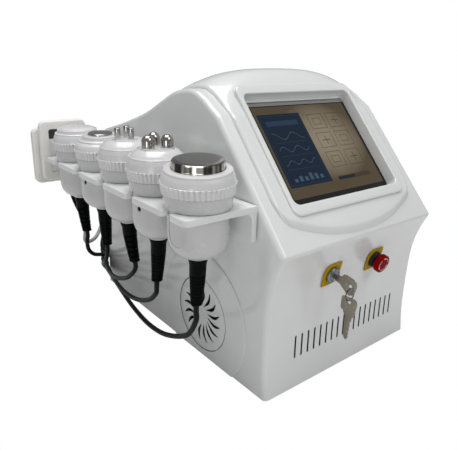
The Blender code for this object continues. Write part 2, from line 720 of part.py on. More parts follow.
def screen_surround(parent):
    """Raised console moulding: a grid over the slope and crest, hollow under the hump."""
    side = (0.0, SURROUND_ROUND * 0.25, SURROUND_ROUND, SURROUND_ROUND * 2.9)
    half = BODY_WIDTH / 2 - SURROUND_MARGIN
    inner_shares = (0.20, 0.44, 0.72, 1.0)
    offsets = list(side) + [side[-1] + (half - side[-1]) * s for s in inner_shares]
    columns = [SURROUND_MARGIN + o for o in offsets]
    columns += [BODY_WIDTH - c for c in reversed(columns[:-1])]
    crest = [p[0] for p in crest_points() if SLOPE_END_Y < p[0] <= surround_rear()]
    bottom_steps = (0.0, SURROUND_ROUND * 0.25, SURROUND_ROUND)
    share_steps = (0.12, 0.35, 0.62, 0.85, 1.0)
    bm = bmesh.new()
    top, under = [], []
    for x in columns:
        t0 = surround_bottom(x)
        ts = [t0 + s for s in bottom_steps]
        ts += [ts[-1] + (SLOPE_LENGTH - ts[-1]) * s for s in share_steps]
        ys = [slope_point(t)[0] for t in ts] + crest
        rear_steps = [crest[-1] - SURROUND_ROUND * 0.7, crest[-1] - SURROUND_ROUND * 0.2]
        ys = ys[:-1] + rear_steps + ys[-1:]
        column_top, column_under = [], []
        for y in ys:
            from_side = min(x - columns[0], columns[-1] - x)
            from_bottom = (y - ys[0]) / cos(SLOPE_ANGLE)
            from_rear = ys[-1] - y
            near = min(from_side, from_bottom, from_rear, SURROUND_ROUND)
            edge = 0.15 + 0.85 * sqrt(max(0.0, 1 - (1 - near / SURROUND_ROUND) ** 2))
            outer = surround_top(x, y, edge)
            lean = 1 / cos(SLOPE_ANGLE) if y <= SLOPE_END_Y else 1.0
            skin = skin_height(y) + GAP * lean
            thin = outer - (SURROUND_RISE + SURROUND_WALL / 2)
            on_rim = near < SURROUND_ROUND or y <= SLOPE_END_Y
            column_top.append(bm.verts.new((x, y, outer)))
            column_under.append(bm.verts.new((x, y, skin if on_rim else max(skin, thin))))
        top.append(column_top)
        under.append(column_under)
    rows = len(top[0])
    for i in range(len(columns) - 1):
        for j in range(rows - 1):
            bm.faces.new((top[i][j], top[i + 1][j], top[i + 1][j + 1], top[i][j + 1]))
            bm.faces.new((under[i][j], under[i][j + 1], under[i + 1][j + 1], under[i + 1][j]))
        for j in (0, rows - 1):
            bm.faces.new((top[i][j], under[i][j], under[i + 1][j], top[i + 1][j]))
    for i in (0, len(columns) - 1):
        for j in range(rows - 1):
            bm.faces.new((top[i][j], top[i][j + 1], under[i][j + 1], under[i][j]))
    made = piece("screen_surround", bm, "white_shell", parent)
    rebate = rounded_rectangle(BEZEL_WIDTH + 2 * GAP, BEZEL_HEIGHT + 2 * GAP, BEZEL_RADIUS + GAP)
    high = SURROUND_RISE + HUMP_RISE
    cut(made, loft([to_slope(rebate, -BEZEL_REBATE), to_slope(rebate, high)]), "rebate_cutter")
    hole = sleeve_outline(GAP)
    cut(made, loft([to_slope(hole, -2 * SURROUND_RISE), to_slope(hole, high)]), "window_cutter")
    return made


def screen_bezel(parent):
    """Frame with a rounded face, set in the surround's rebate, and a sleeve down to the glass."""
    def frame(inset, level):
        return to_slope(rounded_rectangle(BEZEL_WIDTH - 2 * inset, BEZEL_HEIGHT - 2 * inset,
                                          BEZEL_RADIUS - inset), level)

    def inner(grow, level):
        return to_slope(rounded_rectangle(OPENING_WIDTH + 2 * grow, OPENING_HEIGHT + 2 * grow,
                                          OPENING_RADIUS + grow), level)
    seat = -BEZEL_REBATE + GAP
    shoulder = BEZEL_PROUD - BEZEL_EDGE
    rings = [frame(0.0, seat), frame(0.0, shoulder), frame(BEZEL_EDGE * 0.3, BEZEL_PROUD - BEZEL_EDGE * 0.3),
             frame(BEZEL_EDGE, BEZEL_PROUD), inner(BEZEL_INNER_EDGE, BEZEL_PROUD),
             inner(0.0, BEZEL_PROUD - BEZEL_INNER_EDGE), inner(0.0, -SLEEVE_DEPTH),
             inner(SLEEVE_WALL, -SLEEVE_DEPTH), inner(SLEEVE_WALL, seat)]
    return piece("screen_bezel", loft(rings, closed=True), "white_shell", parent)


def screen_panes(parent):
    """Touch glass against the sleeve's end, and the display behind it."""
    width = OPENING_WIDTH + 2 * GLASS_MARGIN
    height = OPENING_HEIGHT + 2 * GLASS_MARGIN
    face = -SLEEVE_DEPTH - GAP
    pane = rounded_rectangle(width, height, OPENING_RADIUS + GLASS_MARGIN)
    piece("screen_glass", loft([to_slope(pane, face - GLASS_THICKNESS), to_slope(pane, face)]),
          "dark_glass", parent)
    back = face - GLASS_THICKNESS - GAP
    panel = rounded_rectangle(width - 2 * DISPLAY_INSET, height - 2 * DISPLAY_INSET, OPENING_RADIUS)
    piece("display_module", loft([to_slope(panel, back - DISPLAY_THICKNESS), to_slope(panel, back)]),
          "display", parent)


# Fan and grille

def swirl_slot(angle):
    """Outline of one curved slot, pointed at both ends and widest near its middle."""
    steps = 3
    one_side, other_side = [], []
    for i in range(steps + 1):
        share = i / steps
        radius = SWIRL_INNER_RADIUS + (SWIRL_OUTER_RADIUS - SWIRL_INNER_RADIUS) * share
        middle = angle + SWIRL_TURN * share ** 1.6
        half = SWIRL_WIDTH / 2 * (0.30 + 0.70 * sin(pi * (0.12 + 0.76 * share))) / radius
        one_side.append((FAN_Y + radius * cos(middle + half), FAN_Z + radius * sin(middle + half)))
        other_side.append((FAN_Y + radius * cos(middle - half), FAN_Z + radius * sin(middle - half)))
    return one_side + other_side[::-1]


def fan_grille(parent):
    """Round insert flush with the side pad, cut with swirl slots."""
    outer = -PAD_RISE
    inner = outer + GRILLE_THICKNESS
    made = piece("fan_grille", prism(circle(GRILLE_RADIUS, DISC_SIDES, FAN_Y, FAN_Z), (across, outer, inner)),
                 "white_shell", parent)
    slots = bmesh.new()
    for i in range(SWIRL_COUNT):
        prism(swirl_slot(2 * pi * i / SWIRL_COUNT), (across, outer - OVERRUN, inner + OVERRUN), slots)
    cut(made, slots, "swirl_cutter")
    return made


def fan(parent):
    """Square fan against the side wall's inner face, with its bladed rotor on a motor plate."""
    near = SHELL_WALL + GAP
    far = near + FAN_DEPTH
    frame = piece("fan_frame", prism(rounded_rectangle(FAN_SIZE, FAN_SIZE, FAN_CORNER_RADIUS, 3, FAN_Y, FAN_Z),
                                     (across, near, far)), "black_plastic", parent)
    bore = prism(circle(FAN_BORE_RADIUS, 32, FAN_Y, FAN_Z), (across, near - OVERRUN, far + OVERRUN))
    cut(frame, bore, "fan_bore_cutter")
    motor_face = far - FAN_SPOKE_THICKNESS
    cut(frame, prism(circle(FAN_MOTOR_RADIUS, 20, FAN_Y, FAN_Z), (across, motor_face, far)),
        "fan_motor_plate", "UNION")
    for number, (wide, tall) in enumerate(((FAN_SPOKE_WIDTH, 2 * FAN_BORE_RADIUS + FAN_SPOKE_WIDTH),
                                           (2 * FAN_BORE_RADIUS + FAN_SPOKE_WIDTH, FAN_SPOKE_WIDTH))):
        bar = [(FAN_Y - wide / 2, FAN_Z - tall / 2), (FAN_Y + wide / 2, FAN_Z - tall / 2),
               (FAN_Y + wide / 2, FAN_Z + tall / 2), (FAN_Y - wide / 2, FAN_Z + tall / 2)]
        cut(frame, prism(bar, (across, motor_face + GAP * number, far - GAP * number)),
            "fan_spoke_" + str(number), "UNION")
    hub = empty("fan_axis", parent, (near, FAN_Y, FAN_Z), (0.0, pi / 2, 0.0))
    depth = motor_face - FAN_END_CLEARANCE - near
    front = FAN_END_CLEARANCE
    rounding = FAN_SPOKE_THICKNESS
    profile = [(0, depth), (FAN_MOTOR_RADIUS, depth), (FAN_MOTOR_RADIUS, front + rounding),
               (FAN_MOTOR_RADIUS - rounding, front), (0, front)]
    rotor = piece("fan_rotor", lathe(profile, 21), "black_plastic", hub)
    blades = bmesh.new()
    tip = FAN_BORE_RADIUS - FAN_TIP_CLEARANCE
    root = FAN_MOTOR_RADIUS * 0.9
    rise = depth * 0.38
    for i in range(FAN_BLADE_COUNT):
        rings = []
        for radius in (root, (root + tip) / 2, tip * 0.985):
            chord = rise / sin(FAN_BLADE_PITCH)
            lean = FAN_BLADE_PITCH * root / radius * 0.6 + FAN_BLADE_PITCH * 0.4
            run, climb = chord * cos(lean), chord * sin(lean)
            middle = (depth + front) / 2
            section = []
            for u, v in ((-0.5, -0.5), (0.5, -0.5), (0.5, 0.5), (-0.5, 0.5)):
                along = run * u - v * FAN_BLADE_THICKNESS * sin(lean)
                up = climb * u + v * FAN_BLADE_THICKNESS * cos(lean)
                section.append((radius, along * min(1.0, radius / tip * 1.2), middle + up))
            rings.append(section)
        blade = loft(rings)
        bmesh.ops.rotate(blade, verts=blade.verts, matrix=Matrix.Rotation(2 * pi * i / FAN_BLADE_COUNT, 3, "Z"))
        mesh = bpy.data.meshes.new("blade")
        bmesh.ops.recalc_face_normals(blade, faces=blade.faces)
        blade.to_mesh(mesh)
        blade.free()
        blades.from_mesh(mesh)
        bpy.data.meshes.remove(mesh)
    cut(rotor, blades, "fan_blades", "UNION")
    return rotor


# Controls on the front

def leaf_plate(name, x, hole_radius, parent):
    """Square plate with two rounded and two sharp corners, and a round hole."""
    half = PLATE_SIZE / 2
    outline = []
    for quarter, (sa, sb, radius) in enumerate(((1, 1, PLATE_TIP), (-1, 1, PLATE_ROUND),
                                                (-1, -1, PLATE_TIP), (1, -1, PLATE_ROUND))):
        steps = 1 if radius == PLATE_TIP else 6
        outline += arc(sa * (half - radius), sb * (half - radius), radius, quarter * pi / 2,
                       (quarter + 1) * pi / 2, steps)
    place, turn = control_frame(x)
    frame = empty(name + "_frame", parent, place, turn)
    made = piece(name, prism(outline, (outward, GAP, GAP + PLATE_THICKNESS)), "yellow_plate", frame)
    cut(made, prism(circle(hole_radius, LATHE_SIDES), (outward, -OVERRUN, OVERRUN + PLATE_THICKNESS)), name + "_hole")
    return frame


PLATE_FACE = 2 * GAP + PLATE_THICKNESS


def emergency_stop(parent):
    """Barrel and collar, a stem that slides in them, and the mushroom head that turns on the stem."""
    frame = leaf_plate("estop_plate", ESTOP_X, ESTOP_BARREL_RADIUS + GAP, parent)
    bore = STEM_RADIUS + STEM_CLEARANCE
    collar_top = PLATE_FACE + ESTOP_COLLAR_LENGTH
    edge = ESTOP_COLLAR_LENGTH / 5
    body = [(bore, -ESTOP_BARREL_LENGTH), (ESTOP_BARREL_RADIUS, -ESTOP_BARREL_LENGTH),
            (ESTOP_BARREL_RADIUS, PLATE_FACE), (ESTOP_COLLAR_RADIUS, PLATE_FACE),
            (ESTOP_COLLAR_RADIUS, collar_top - edge), (ESTOP_COLLAR_RADIUS - edge, collar_top), (bore, collar_top)]
    piece("estop_body", lathe(body), "black_plastic", frame)
    under = collar_top + ESTOP_TRAVEL + ESTOP_TRAVEL_ROOM
    face = under + ESTOP_HEAD_LENGTH
    socket = under + STEM_SOCKET_DEPTH
    stem = [(0, -STEM_INNER_LENGTH), (STEM_RADIUS, -STEM_INNER_LENGTH), (STEM_RADIUS, socket - GAP), (0, socket - GAP)]
    piece("estop_stem", lathe(stem, ROD_SIDES), "black_plastic", frame)
    edge = ESTOP_HEAD_EDGE
    head = [(0, socket), (bore, socket), (bore, under), (ESTOP_HEAD_RADIUS - edge / 2, under),
            (ESTOP_HEAD_RADIUS, under + edge / 2), (ESTOP_HEAD_RADIUS, face - edge),
            (ESTOP_HEAD_RADIUS - edge * 0.3, face - edge * 0.3), (ESTOP_HEAD_RADIUS - edge, face),
            (0, face + edge * 0.25)]
    piece("estop_head", lathe(head), "red_plastic", frame)


def key_outline(stretch, first, count):
    """Flat key pointing down its own axis: blade tip at the start, bow at the end."""
    half = KEY_BLADE_WIDTH / 2
    pitch = KEY_BLADE_LENGTH / (KEY_NOTCH_COUNT + 1)
    left = [(first, -half / 2), (first + half / 2, -half)]
    for i in range(count):
        at = first + pitch * (i + 1)
        left += [(at - pitch / 4, -half), (at, -half + KEY_NOTCH_DEPTH), (at + pitch / 4, -half)]
    blade_end = first + KEY_BLADE_LENGTH + stretch
    neck_end = blade_end + KEY_NECK_LENGTH
    bow = KEY_BOW_WIDTH / 2
    end = neck_end + KEY_BOW_LENGTH
    left += [(blade_end, -half), (blade_end + KEY_NECK_LENGTH * 0.25, -half * 1.3), (neck_end - half / 2, -half * 1.3),
             (neck_end + half, -bow * 0.92), (neck_end + 2 * half, -bow),
             (end - 2 * half, -bow), (end - half / 2, -bow * 0.80), (end, -bow * 0.45)]
    right = [(a, -b) for a, b in reversed(left) if not (first < a < blade_end and b > -half)]
    return left + right, end


def flat_key(name, stretch, parent, place):
    """A key from its outline: place(along, across, level) puts the points."""
    first = -KEY_INSERTED
    outline, end = key_outline(stretch, first, KEY_NOTCH_COUNT)
    half = KEY_THICKNESS / 2
    made = piece(name, prism(outline, (place, -half, half)), "key_metal", parent)
    hole = circle(KEY_HOLE_RADIUS, 12, end - KEY_HOLE_FROM_END, 0.0)
    cut(made, prism(hole, (place, -2 * half, 2 * half)), name + "_hole")
    return made


def key_hole_distance(stretch):
    """From the key frame's zero, at the cylinder's face, to the bow's hole."""
    return (-KEY_INSERTED + KEY_BLADE_LENGTH + stretch + KEY_NECK_LENGTH + KEY_BOW_LENGTH
            - KEY_HOLE_FROM_END)


def key_switch(parent):
    """Plate, barrel with its ring, turning cylinder, key, ring and hanging spare key."""
    frame = leaf_plate("key_plate", KEY_X, LOCK_BARREL_RADIUS + GAP, parent)
    bore = CYLINDER_RADIUS + CYLINDER_CLEARANCE
    top = PLATE_FACE + LOCK_RING_LENGTH
    chamfer = LOCK_RING_CHAMFER
    body = [(bore, -LOCK_BARREL_LENGTH), (LOCK_BARREL_RADIUS, -LOCK_BARREL_LENGTH), (LOCK_BARREL_RADIUS, PLATE_FACE),
            (LOCK_RING_RADIUS, PLATE_FACE), (LOCK_RING_RADIUS, top - chamfer), (LOCK_RING_RADIUS - chamfer, top),
            (bore + chamfer, top), (bore, top - chamfer)]
    piece("lock_body", lathe(body), "chrome", frame)
    face = top - chamfer + CYLINDER_PROUD
    back = face - CYLINDER_LENGTH
    plug = [(0, back), (CYLINDER_RADIUS, back), (CYLINDER_RADIUS, face - CYLINDER_PROUD / 2),
            (CYLINDER_RADIUS - CYLINDER_PROUD / 2, face), (0, face)]
    cylinder = piece("lock_cylinder", lathe(plug), "steel", frame)
    keyway = rounded_rectangle(KEYWAY_WIDTH, KEYWAY_HEIGHT, KEYWAY_WIDTH / 4, 1)
    cut(cylinder, prism(keyway, (outward, face - KEYWAY_DEPTH, face + OVERRUN)), "keyway_cutter")

    def in_lock(along, wide, level):
        return (level, wide, face + along)
    flat_key("key", 0.0, frame, in_lock)

    place, turn = control_frame(KEY_X)
    lean = turn[0] - pi / 2
    reach = face + key_hole_distance(0.0)
    hole_y = place[1] - reach * cos(lean)
    hole_z = place[2] - reach * sin(lean)
    hang = KEY_HOLE_RADIUS - RING_WIRE_RADIUS - GAP
    ring_z = hole_z - hang - RING_RADIUS
    ring_frame = empty("key_ring_axis", parent, (KEY_X, hole_y, hole_z - hang))
    bm = bmesh.new()
    rings = []
    for i in range(RING_STEPS):
        a = 2 * pi * i / RING_STEPS
        rings.append([((RING_RADIUS + RING_WIRE_RADIUS * cos(b)) * cos(a), RING_WIRE_RADIUS * sin(b),
                       (RING_RADIUS + RING_WIRE_RADIUS * cos(b)) * sin(a) - RING_RADIUS)
                      for b in (2 * pi * k / WIRE_SIDES for k in range(WIRE_SIDES))])
    piece("key_ring", loft(rings, bm, closed=True), "steel", ring_frame)
    low_wire = ring_z - RING_RADIUS
    spare_frame = empty("spare_key_axis", parent, (KEY_X, hole_y, low_wire))
    hole_at = key_hole_distance(SPARE_STRETCH)

    def hanging(along, wide, level):
        return (level, wide, -hang + along - hole_at)
    flat_key("spare_key", SPARE_STRETCH, spare_frame, hanging)


# Base, feet, rear panel and what is inside

def tray_outline(inset):
    """Plan of the base tray, inset from the housing's inner faces, with the front corners cut off."""
    side = inset + SHELL_WALL + GAP
    front = side + depth_on_front(BASE_LIP)
    rear = BODY_DEPTH - REAR_PANEL_INSET - REAR_PANEL_THICKNESS - REAR_LEAN / 8 - inset
    corner = SIDE_EDGE_RADIUS
    return [(side, front + corner), (side + corner, front), (BODY_WIDTH - side - corner, front),
            (BODY_WIDTH - side, front + corner), (BODY_WIDTH - side, rear), (side, rear)]


def base_plate(parent):
    """Folded steel tray that closes the bottom, with holes for the feet's studs."""
    t = BASE_THICKNESS
    made = piece("base_plate", prism(tray_outline(0.0), (upward, GAP, BASE_LIP)), "steel", parent)
    cut(made, prism(tray_outline(t), (upward, GAP + t, BASE_LIP + OVERRUN)), "tray_cutter")
    holes = bmesh.new()
    for x, y in foot_places():
        prism(circle(FOOT_STUD_RADIUS + GAP, ROD_SIDES, x, y), (upward, -OVERRUN, 2 * t + GAP), holes)
    cut(made, holes, "foot_hole_cutter")
    return made


def foot_places():
    return [(x, y) for x in (FOOT_INSET, BODY_WIDTH - FOOT_INSET) for y in (FOOT_INSET, BODY_DEPTH - FOOT_INSET)]


def feet(parent):
    """Rubber feet, each with a stud through the base plate and a snap head above it."""
    names = ("foot_front_left", "foot_rear_left", "foot_front_right", "foot_rear_right")
    t = BASE_THICKNESS
    for name, (x, y) in zip(names, foot_places()):
        low = -FOOT_HEIGHT
        profile = [(0, low), (FOOT_RADIUS - FOOT_TAPER, low), (FOOT_RADIUS, 0.0), (FOOT_STUD_RADIUS, 0.0),
                   (FOOT_STUD_RADIUS, t + 2 * GAP), (FOOT_STUD_RADIUS + t / 2, t + 2 * GAP),
                   (FOOT_STUD_RADIUS, 3 * t), (0, 3 * t)]
        piece(name, lathe(profile, 2 * ROD_SIDES, centre=(x, y)), "black_rubber", parent)


def rear_panel(parent):
    """Steel plate that closes the back, with the lead sockets, louvres and cut-outs."""
    face = BODY_DEPTH - REAR_PANEL_INSET
    back = face - REAR_PANEL_THICKNESS
    edge = SHELL_WALL + GAP
    lean = REAR_LEAN * REAR_PANEL_INSET / REAR_TOP_HEIGHT
    top = height_on(crest_points(), REAR_TOP_Y) - SHELL_WALL - REAR_LEAN / 4
    corner = SIDE_EDGE_RADIUS
    outline = [(edge, GAP + lean), (BODY_WIDTH - edge, GAP + lean), (BODY_WIDTH - edge, top - corner),
               (BODY_WIDTH - edge - corner, top), (edge + corner, top), (edge, top - corner)]

    def leaning(a, b, level):
        return (a, level - REAR_LEAN * b / REAR_TOP_HEIGHT, b)
    made = piece("rear_panel", prism(outline, (leaning, back, face)), "white_shell", parent)
    holes = bmesh.new()
    far = face + OVERRUN
    near = back - REAR_LEAN - OVERRUN
    prism(inlet_outline(INLET_WIDTH + 2 * GAP, INLET_HEIGHT + 2 * GAP), (backward, near, far), holes)
    switch = rounded_rectangle(SWITCH_WIDTH + 2 * GAP, SWITCH_HEIGHT + 2 * GAP, SWITCH_FRAME / 2, 1, INLET_X, SWITCH_Z)
    prism(switch, (backward, near, far), holes)
    for i in range(REAR_VENT_COUNT):
        slot = rounded_rectangle(REAR_VENT_WIDTH, REAR_VENT_HEIGHT, REAR_VENT_HEIGHT / 2, 1, REAR_VENT_X,
                                 REAR_VENT_LOWEST + i * REAR_VENT_PITCH)
        prism(slot, (backward, near, far), holes)
    cut(made, holes, "rear_cutter")
    bosses = bmesh.new()
    bores = bmesh.new()
    for number in range(6):
        x, y, z = socket_place(number)
        prism(circle(SOCKET_RADIUS, ROD_SIDES, x, z), (backward, y - SOCKET_LENGTH - REAR_PANEL_THICKNESS, y), bosses)
        prism(circle(SOCKET_BORE_RADIUS, ROD_SIDES, x, z), (backward, y - SOCKET_LENGTH, y + OVERRUN), bores)
    cut(made, bosses, "socket_bosses", "UNION")
    cut(made, bores, "socket_bores")
    return made


def socket_place(number):
    """Mouth of a lead socket on the rear panel."""
    z = SOCKET_LOWEST + number * SOCKET_PITCH
    return (SOCKET_X, BODY_DEPTH - REAR_PANEL_INSET + SOCKET_LENGTH / 2, z)


def inlet_outline(width, height):
    return rounded_rectangle(width, height, INLET_CAVITY_MARGIN, 2, INLET_X, INLET_Z)


def rear_face(z):
    """Y of the rear panel's outer face at height z."""
    return BODY_DEPTH - REAR_PANEL_INSET - REAR_LEAN * z / REAR_TOP_HEIGHT


def power_entry(parent):
    """Mains inlet with its three pins, and the rocker switch above it."""
    face = rear_face(INLET_Z - INLET_HEIGHT / 2 - INLET_FLANGE) + GAP
    body = inlet_outline(INLET_WIDTH, INLET_HEIGHT)
    flange = inlet_outline(INLET_WIDTH + 2 * INLET_FLANGE, INLET_HEIGHT + 2 * INLET_FLANGE)
    front = face + INLET_FLANGE_THICKNESS
    rings = [[backward(a, b, y) for a, b in line] for line, y in
             ((body, face - INLET_BODY_DEPTH), (body, face), (flange, face), (flange, front))]
    inlet = piece("power_inlet", loft(rings), "black_plastic", parent)
    margin = 2 * INLET_CAVITY_MARGIN
    cavity = inlet_outline(INLET_WIDTH - 2 * margin, INLET_HEIGHT - margin)
    cut(inlet, prism(cavity, (backward, front - INLET_CAVITY_DEPTH, front + OVERRUN)), "inlet_cavity")
    pins = bmesh.new()
    half = BLADE_PIN_WIDTH / 4
    for a, b in ((-INLET_WIDTH / 6, -half), (0.0, INLET_HEIGHT / 8), (INLET_WIDTH / 6, -half)):
        x, z = INLET_X + a, INLET_Z + b
        pin = [(x - half, z - 2 * half), (x + half, z - 2 * half), (x + half, z + 2 * half), (x - half, z + 2 * half)]
        prism(pin, (backward, front - INLET_CAVITY_DEPTH - OVERRUN, front - INLET_FLANGE_THICKNESS), pins)
    cut(inlet, pins, "inlet_pins", "UNION")

    face = rear_face(SWITCH_Z - SWITCH_HEIGHT / 2 - SWITCH_FRAME) + GAP
    body = rounded_rectangle(SWITCH_WIDTH, SWITCH_HEIGHT, SWITCH_FRAME / 2, 1, INLET_X, SWITCH_Z)
    flange = rounded_rectangle(SWITCH_WIDTH + 2 * SWITCH_FRAME, SWITCH_HEIGHT + 2 * SWITCH_FRAME,
                               SWITCH_FRAME, 1, INLET_X, SWITCH_Z)
    front = face + SWITCH_FRAME / 2
    rings = [[backward(a, b, y) for a, b in line] for line, y in
             ((body, face - SWITCH_DEPTH), (body, face), (flange, face), (flange, front))]
    frame = piece("switch_frame", loft(rings), "black_plastic", parent)
    wide = SWITCH_WIDTH - SWITCH_FRAME
    tall = SWITCH_HEIGHT - SWITCH_FRAME
    pocket = rounded_rectangle(wide, tall, SWITCH_FRAME / 4, 1, INLET_X, SWITCH_Z)
    floor = front - SWITCH_DEPTH * 0.7
    cut(frame, prism(pocket, (backward, floor, front + OVERRUN)), "switch_pocket")

    wide -= 2 * ROCKER_CLEARANCE
    tall -= 2 * ROCKER_CLEARANCE
    depth = front - floor
    axle = empty("rocker_axis", parent, (INLET_X, floor + depth * 0.45, SWITCH_Z))
    half = tall / 2 * cos(ROCKER_ANGLE) * 0.96
    crown = depth * 0.55
    profile = [(-half * 0.55, -depth * 0.26), (half * 0.55, -depth * 0.26), (half, crown * 0.55),
               (half - ROCKER_LEAN, crown + ROCKER_PROUD), (0.0, crown + ROCKER_PROUD * 0.35), (-half, crown)]

    def sideways(a, b, level):
        return (level, b, a)
    piece("power_switch", prism(profile, (sideways, -wide / 2, wide / 2)), "black_plastic", axle)


def box_between(low, high, bm=None):
    outline = [(low[0], low[1]), (high[0], low[1]), (high[0], high[1]), (low[0], high[1])]
    return prism(outline, (upward, low[2], high[2]), bm)


def inner_units(parent):
    """Power supply case and control board on standoffs, both on the base plate."""
    floor = 2 * GAP + BASE_THICKNESS
    sx, sy, sz = SUPPLY_SIZE
    piece("power_supply", box_between((SUPPLY_X - sx / 2, SUPPLY_Y - sy / 2, floor),
                                      (SUPPLY_X + sx / 2, SUPPLY_Y + sy / 2, floor + sz)), "steel", parent)
    bx, by, bz = BOARD_WIDTH, BOARD_LENGTH, BOARD_THICKNESS
    level = floor + BOARD_STANDOFF
    board = piece("control_board", box_between((BOARD_X - bx / 2, BOARD_Y - by / 2, level),
                                               (BOARD_X + bx / 2, BOARD_Y + by / 2, level + bz)),
                  "board_green", parent)
    added = bmesh.new()
    for sa in (-1, 1):
        for sb in (-1, 1):
            x = BOARD_X + sa * (bx / 2 - STANDOFF_INSET)
            y = BOARD_Y + sb * (by / 2 - STANDOFF_INSET)
            prism(circle(STANDOFF_RADIUS, 8, x, y), (upward, floor, level + bz / 2), added)
    half = BOARD_BLOCK_SIZE / 2
    for share in (-0.28, 0.22):
        y = BOARD_Y + share * by
        box_between((BOARD_X - half, y - half / 2, level + bz / 2),
                    (BOARD_X + half, y + half / 2, level + bz + BOARD_BLOCK_HEIGHT), added)
    cut(board, added, "board_parts", "UNION")


# Shelf

def shelf_outline():
    """Plan of the shelf: straight at the machine, with a keyhole for each handpiece from the outer edge."""
    outer = -SHELF_REACH
    inner = -GAP - PAD_RISE
    back = PADDLE_Y + SHELF_TAIL
    points = arc(outer + SHELF_CORNER, SHELF_FRONT + SHELF_CORNER, SHELF_CORNER, -pi / 2, -pi, 3)
    half = LEAD_SLOT_WIDTH / 2
    for x, y, radius in zip(HAND_X, HAND_Y, SEAT_RADIUS):
        points += mouth(outer, y - half, True)
        away = pi - atan2(half, sqrt(radius ** 2 - half ** 2))
        points += arc(x, y, radius, -away, away, 18)
        points += mouth(outer, y + half, False)
    wide = PADDLE_DEPTH / 2 + SEAT_CLEARANCE
    slot_end = PADDLE_X + PADDLE_WIDTH / 2 + SEAT_CLEARANCE
    points += mouth(outer, PADDLE_Y - wide, True)
    points += [(slot_end, PADDLE_Y - wide), (slot_end, PADDLE_Y + wide)]
    points += mouth(outer, PADDLE_Y + wide, False)
    points += arc(outer + SHELF_CORNER, back - SHELF_CORNER, SHELF_CORNER, pi, pi / 2, 3)
    points += [(-SHELF_INNER_SETBACK, back), (-SHELF_INNER_SETBACK, SHELF_FLANGE_END),
               (inner, SHELF_FLANGE_END), (inner, SHELF_FRONT)]
    return points


def mouth(x, y, first):
    """Rounded corner where a lead slot leaves the outer edge."""
    r = PRONG_RADIUS
    return arc(x + r, y - r, r, pi, pi / 2, 3) if first else arc(x + r, y + r, r, -pi / 2, -pi, 3)


def holder_shelf(parent):
    """L-section shelf: keyhole plate on top, flange down the machine's side, fillet between them."""
    low = SHELF_TOP - SHELF_THICKNESS
    made = piece("holder_shelf", prism(shelf_outline(), (upward, low, SHELF_TOP)), "white_shelf", parent)
    wall = -GAP - PAD_RISE
    face = wall - SHELF_FLANGE_THICKNESS
    foot = SHELF_TOP - SHELF_FLANGE_HEIGHT
    top = low + SHELF_THICKNESS / 2
    section = [(wall, foot), (wall, top), (face - SHELF_FILLET, top), (face - SHELF_FILLET, low)]
    section += arc(face - SHELF_FILLET, low - SHELF_FILLET, SHELF_FILLET, pi / 2, 0.0, 3)[1:]
    section += [(face, foot)]
    front = SHELF_FRONT + OVERRUN / 2
    cut(made, prism(section, (backward, front, SHELF_FLANGE_END - OVERRUN / 2)), "shelf_flange", "UNION")
    return made


# Handpieces

def hand_body(name, number, parent):
    """Bulb with a shoulder that rests on the shelf and a spigot inside the cap."""
    collar, seat = COLLAR_RADIUS[number], SEAT_RADIUS[number] - SEAT_CLEARANCE
    shoulder = collar * 0.88
    bulb = min(seat, collar * 0.81)
    low = HAND_NECK_HEIGHT
    ball = HAND_BULB_HEIGHT - low
    profile = [(0, low), (HAND_NECK_RADIUS, low), (HAND_NECK_RADIUS, low + FLUTE_DEPTH)]
    start = asin((HAND_NECK_RADIUS / bulb) ** (1 / HAND_BULB_FULLNESS))
    for i in range(4):
        a = start + (pi / 2 - start) * (i + 1) / 4
        profile.append((bulb * sin(a) ** HAND_BULB_FULLNESS,
                        HAND_BULB_HEIGHT - (ball - 2 * FLUTE_DEPTH) * abs(cos(a)) ** HAND_BULB_FULLNESS))
    spigot = collar - CAP_WALL - DISC_CLEARANCE
    profile += [(seat, SHELF_TOP - SHELF_THICKNESS), (seat, SHELF_TOP + GAP), (shoulder, SHELF_TOP + GAP),
                (shoulder + FLUTE_DEPTH, COLLAR_BOTTOM - 2 * GAP), (spigot - CAP_WALL, COLLAR_BOTTOM - 2 * GAP),
                (spigot - CAP_WALL, COLLAR_TOP - CAP_WALL), (0, COLLAR_TOP - CAP_WALL)]
    piece(name + "_body", lathe(profile), "white_shell", parent)


def cap_profile(number):
    """Upper outline of each cap from the collar's top inwards, as heights over it and radii.

    Each row is (share of the collar's radius, height over the collar's top)."""
    tall = CAP_TOP - COLLAR_TOP
    studded = [(0.945, tall * 0.30), (0.920, tall * 0.74), (0.880, tall * 1.15), (0.870, tall * 1.24),
               (0.845, tall * 1.24), (0.780, tall * 1.48), (0.690, tall * 1.74), (0.600, tall * 1.93)]
    return {
        0: [(0.962, tall * 0.19), (0.927, tall * 0.56), (0.888, tall * 0.88), (0.882, tall * 1.08), (0.840, tall * 1.18)],
        1: studded,
        2: studded,
        3: [(0.945, tall * 0.30), (0.900, tall * 0.67), (0.815, tall * 0.98), (0.805, tall * 1.08), (0.700, tall * 1.11),
            (0.660, tall * 1.52), (0.640, tall * 1.63)],
        4: [(0.950, tall * 0.30), (0.920, tall * 0.67), (0.875, tall), (0.865, tall * 1.11), (0.800, tall * 1.15),
            (0.775, tall * 1.52), (0.750, tall * 1.63)],
    }[number]


HEAD_RADIUS = (0.0336, 0.0243, 0.0175, 0.0195, 0.0300)


